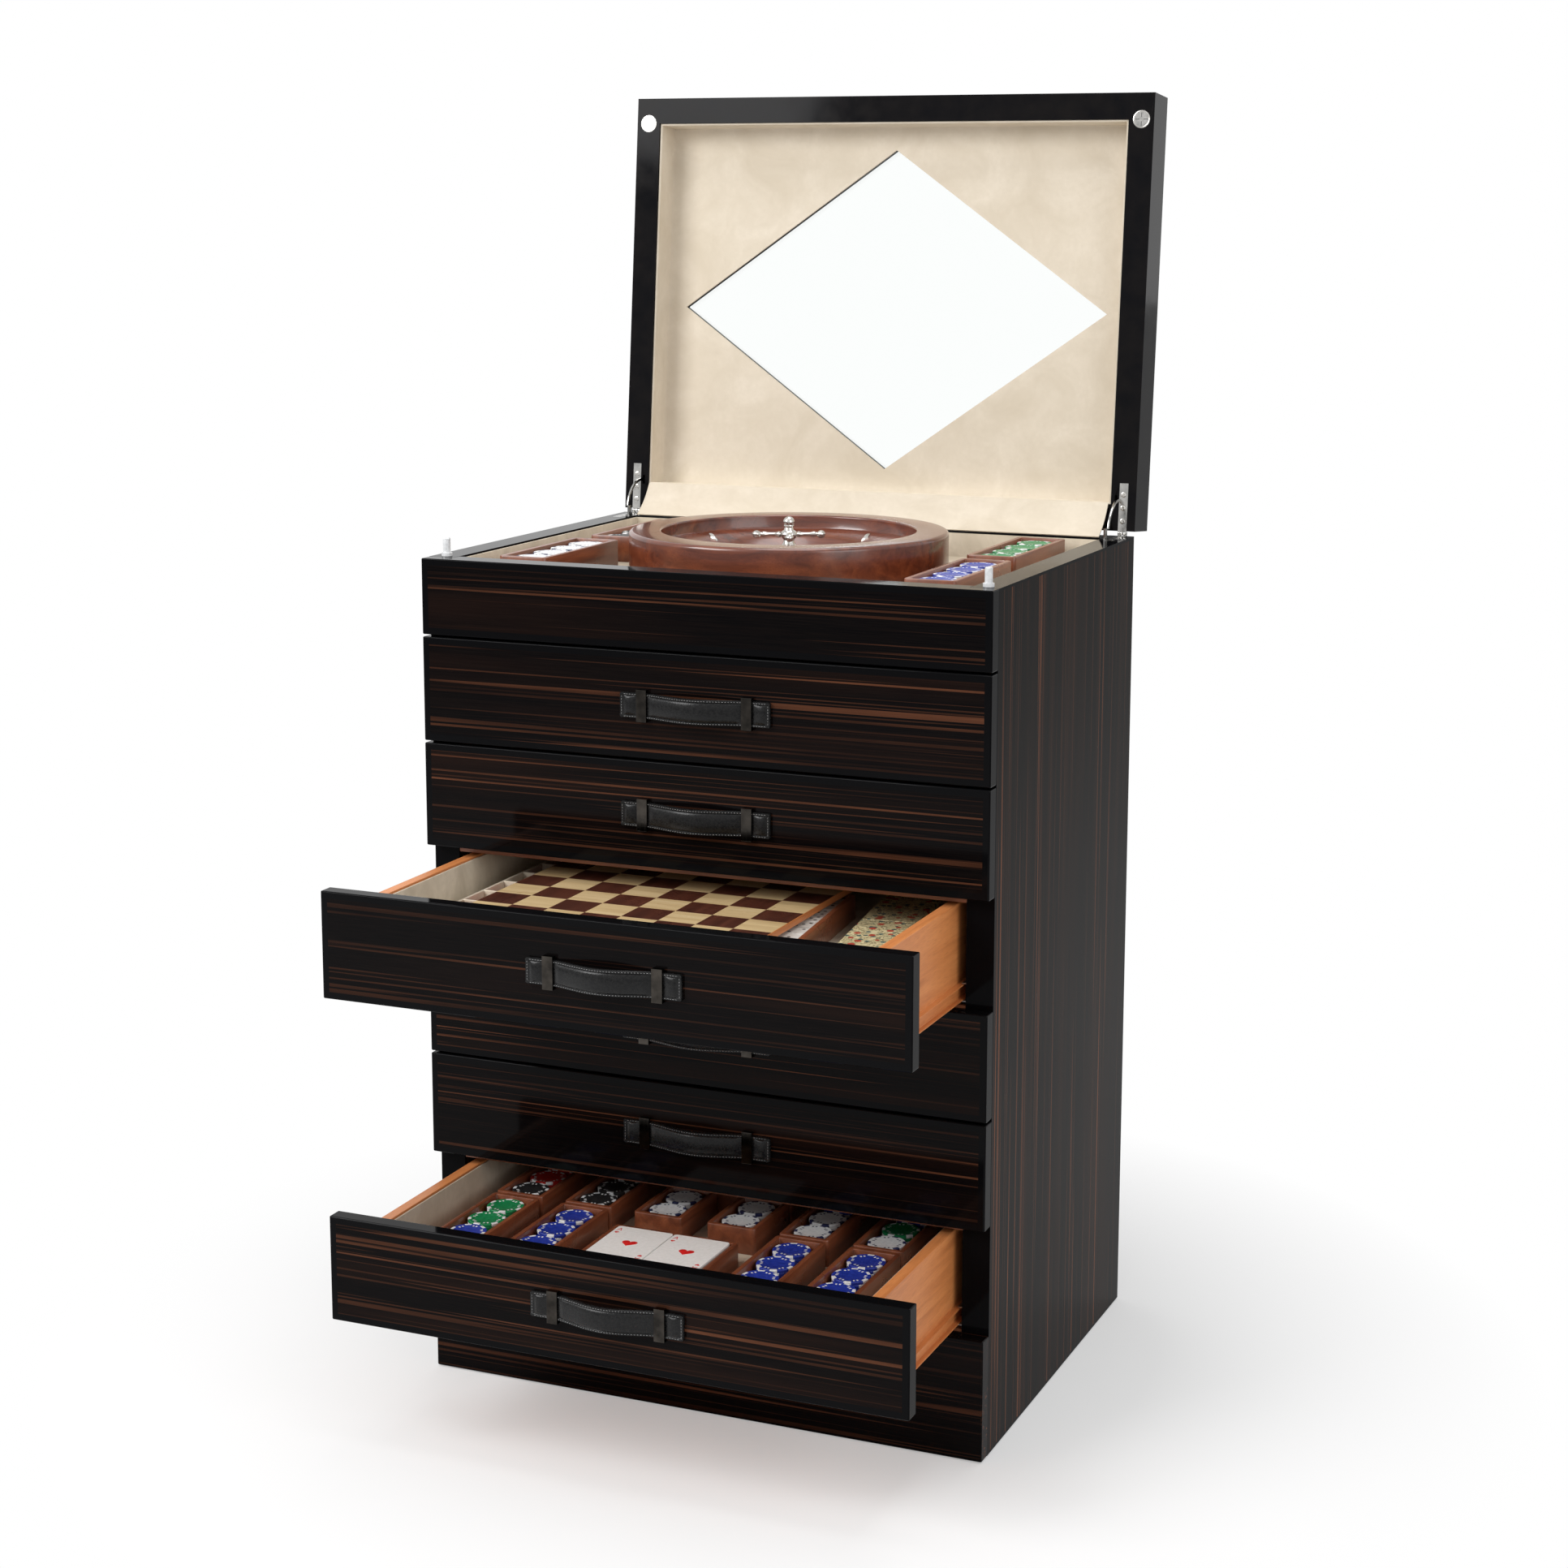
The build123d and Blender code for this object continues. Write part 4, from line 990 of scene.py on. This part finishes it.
# ==== roulette wheel ====
def arc(radius, z, size, first, last, steps=6):
    """Part of a rounded edge: points about (radius, z), angles in degrees."""
    return [polar(size, math.radians(first + (last - first) * step / steps), radius, z)
            for step in range(steps + 1)]


def wheel_bowl():
    shape = Shape()
    outline = [(102.4, compartment_floor), (bowl_radius - 6, compartment_floor)]
    outline += arc(bowl_radius - 4, compartment_floor + 4, 4, -90, 0)
    outline += arc(bowl_radius - 4.5, 920, 4.5, 0, 90, 8)
    outline += arc(141.7, 922.3, 2.2, 90, 180)
    outline += [(139.5, 912), (138.6, 910.2), (136.5, 909.6), (127, 908.2), (112, 900), (104, 893),
                (102.6, 892), (102.4, 890)]
    ring_lathe(shape, outline, bowl_wood, 192)
    for index in range(deflector_count):
        angle = math.tau * (index + 0.5) / deflector_count
        centre = polar(deflector_circle, angle)
        long, wide = (9, 3.4) if index % 2 else (3.4, 9)
        shape.rings([[(*turned(x * size, y * size, centre, angle), lift + x * 0.42 * size)
                      for x, y in ((long, 0), (0, wide), (-long, 0), (0, -wide))]
                     for size, lift in ((1.0, 902.6), (0.8, 906.6), (0.25, 908.6))], chrome)
    shape.make("turned_wheel_bowl", "case", ("roulette_bowl",), "mahogany")


def wheel_rotor():
    shape = Shape()
    lathe(shape, [(60, 877), (100, 877), (101, 879), (101, 888.6)], bowl_wood, 3 * pocket_count)
    for index in range(pocket_count):
        material = (red_plastic if index % 2 else black_ink) if index else felt_green
        for inner, outer, z_in, z_out in ((71.5, 89.5, 885.2, 885.2), (89.5, 100.9, 890, 889.4)):
            points = []
            for step in range(4):
                angle = math.tau * (index * 3 + step) / (3 * pocket_count)
                points += [(*polar(inner, angle), z_in), (*polar(outer, angle), z_out)]
            shape.add(points, [(step * 2, step * 2 + 1, step * 2 + 3, step * 2 + 2) for step in range(3)],
                      material)
    lathe(shape, [(71.5, 885), (71.3, 890), (66, 891.2), (50, 894.4), (30, 898.4), (16, 901), (15.5, 901.1)],
          bowl_wood)
    lathe(shape, [(89.4, 885), (89.4, 889.9)], chrome, closed=False)
    shape.make("turned_wheel_rotor", "wheel", ("roulette_rotor",), "mahogany")


def wheel_frets():
    shape = Shape()
    for angle in circle(pocket_count):
        block(shape, (*polar(fret_circle, angle), 887.6), (18, 0.9, 4.8), chrome, angle, 0.25)
    for inner in (89.0, 70.2):
        ring_lathe(shape, [(inner, 889.6), (inner + 1.6, 889.6), (inner + 1.6, 890.9),
                           (inner + 1.2, 891.3), (inner + 0.4, 891.3)], chrome, 4 * pocket_count)
    shape.make("pocket_frets", "wheel", ("roulette_fret_ring",), "chrome")


def wheel_turret():
    """A turned column with four arms that end in balls."""
    shape = Shape()
    column = [(16, 901), (16, 903), (12, 904.5), (8.5, 907), (6.2, 910), (5.6, 913), (7.6, 915),
              (9.2, 917.4), (9.4, 919.6), (8.2, 922), (5.4, 924), (4.6, 926.5), (5.6, 928.4)]
    column += [polar(6.2, math.radians(angle), 0, 932.6) for angle in range(-30, 90, 15)]
    lathe(shape, column + [(0.5, 938.9)], chrome, 64)
    arm = [(9.0, 2.8), (11, 3.5), (13, 2.4), (17, 1.9), (23, 2.1), (26, 3.1), (28, 3.3), (29.5, 2.2),
           (31, 2.2), (32.6, 3.6), (35, 4.6), (37.6, 4.0), (39.4, 2.2), (40, 0.6)]
    for index in range(4):
        angle = math.radians(arm_turn + 90 * index)
        rings = []
        for reach, size in arm:
            spots = [polar(size, turn) for turn in circle(20)]
            rings.append([(*turned(reach, across, (0, 0), angle), arm_level + up) for across, up in spots])
        shape.rings(rings, chrome)
    shape.make("wheel_turret_cross", "wheel", ("roulette_turret",), "chrome")


wheel_order = (0, 32, 15, 19, 4, 21, 2, 25, 17, 34, 6, 27, 13, 36, 11, 30, 8, 23, 10, 5, 24, 16, 33,
               1, 20, 14, 31, 9, 22, 18, 29, 7, 28, 12, 35, 3, 26)
number_radius = 95.4
number_level = 889.76
number_size = 7.0


def wheel_numbers():
    """The numerals of the dial, one beside each pocket."""
    everything = bmesh.new()
    for index, number in enumerate(wheel_order):
        text = bpy.data.curves.new("numeral", "FONT")
        text.body = str(number)
        text.size = number_size * MM
        text.extrude = 0.04 * MM
        text.align_x = "CENTER"
        text.align_y = "CENTER"
        holder = link(bpy.data.objects.new("numeral", text))
        bpy.context.view_layer.update()
        mesh = bpy.data.meshes.new_from_object(holder)
        angle = math.tau * (index + 0.5) / len(wheel_order)
        place = Vector((*polar(number_radius, angle), number_level))
        mesh.transform(Matrix.Translation(place * MM) @ Matrix.Rotation(angle - math.pi / 2, 4, "Z"))
        everything.from_mesh(mesh)
        bpy.data.objects.remove(holder)
        bpy.data.curves.remove(text)
        bpy.data.meshes.remove(mesh)
    mesh = bpy.data.meshes.new("wheel_numerals")
    everything.to_mesh(mesh)
    everything.free()
    mesh.materials.append(card_paper)
    piece = link(bpy.data.objects.new("wheel_numerals", mesh))
    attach(piece, "wheel")


# ==== floor, lights and camera ====
def seen_by(tree, *kinds):
    """1 for a ray of any of these kinds, else 0."""
    path = tree.node("ShaderNodeLightPath", {})
    seen = path.outputs[f"Is {kinds[0]} Ray"]
    for kind in kinds[1:]:
        seen = tree.math("MAXIMUM", seen, path.outputs[f"Is {kind} Ray"])
    return seen


def studio():
    """A pale floor that goes over into a white surround, which lights the part less than it shows."""
    half, level = 30.0, -0.0015
    mesh = bpy.data.meshes.new("studio_floor")
    mesh.from_pydata([(x * half, y * half, level) for x, y in ((-1, -1), (1, -1), (1, 1), (-1, 1))],
                     [], [(0, 1, 2, 3)])
    floor = link(bpy.data.objects.new("studio_floor", mesh))
    surface = Surface("floor_paper", grey(0.86), 0.9, specular=0.1)
    surface.colour(surface.ramp(surface.noise(3, 3), [(0.3, grey(0.85)), (0.7, grey(0.87))]))
    glow = surface.node("ShaderNodeEmission", {"Color": (1, 1, 1, 1)})
    distance = surface.node("ShaderNodeVectorMath", {0: surface.place})
    distance.operation = "LENGTH"
    far = surface.span(distance.outputs["Value"], 0.42, 0.85, 0.35, 1.0)
    seen = seen_by(surface, "Camera", "Transmission")
    blend = surface.node("ShaderNodeMixShader", {"Fac": surface.math("MULTIPLY", far, seen),
                                                 1: surface.shader.outputs["BSDF"],
                                                 2: glow.outputs["Emission"]})
    surface.fill(surface.tree.nodes["Material Output"], {"Surface": blend.outputs["Shader"]})
    mesh.materials.append(surface.material)

    world = bpy.data.worlds.new("studio_world")
    bpy.context.scene.world = world
    sky = Tree(world)
    seen = seen_by(sky, "Camera", "Transmission", "Glossy")
    sky.fill(sky.tree.nodes["Background"], {"Color": (1, 1, 1, 1),
                                            "Strength": sky.span(seen, 0.0, 1.0, 0.42, 1.0)})


def lamp(name, place, target, size, power):
    data = bpy.data.lights.new(name, "AREA")
    data.shape = "RECTANGLE"
    data.size, data.size_y = size
    data.energy = power
    piece = link(bpy.data.objects.new(name, data))
    piece.location = place
    direction = Vector(target) - Vector(place)
    piece.rotation_euler = direction.to_track_quat("-Z", "Y").to_euler()


def camera():
    """The photograph's camera, solved from the case's edges."""
    data = bpy.data.cameras.new("studio_camera")
    data.sensor_width = 36.0
    data.lens = 65.81
    data.shift_y = -0.0600
    data.clip_start = 0.05
    data.clip_end = 100.0
    piece = link(bpy.data.objects.new("studio_camera", data))
    yaw, pitch, roll = math.radians(23.035), math.radians(-9.856), math.radians(0.058)
    facing = (Matrix.Rotation(yaw, 4, "Z") @ Matrix.Rotation(math.pi / 2 + pitch, 4, "X")
              @ Matrix.Rotation(roll, 4, "Z"))
    piece.matrix_world = Matrix.Translation((1.2160, -2.8730, 1.2881)) @ facing
    bpy.context.scene.camera = piece


studio()
lamp("key", (-2.2, -2.6, 2.9), (0, 0, 0.6), (2.0, 2.0), 120)
lamp("fill", (3.0, -1.6, 1.8), (0, 0, 0.5), (2.2, 2.2), 34)
lamp("top", (0.2, 0.0, 3.4), (0, 0, 0.5), (2.0, 1.6), 42)
camera()
dress_case()
dress_lid()
for drawer_number in drawer_cells:
    drawer_lining(drawer_number)
    strap(drawer_number)
for build in (compartment_cloth, lid_cloth, hinge_cloth, hinge_screws, top_contents, drawer_six_contents,
              decks, chessboard, dominoes, packs, wheel_bowl, wheel_rotor, wheel_frets, wheel_turret,
              wheel_numbers):
    build()
bpy.context.scene.view_settings.view_transform = "Standard"
bpy.context.view_layer.update()
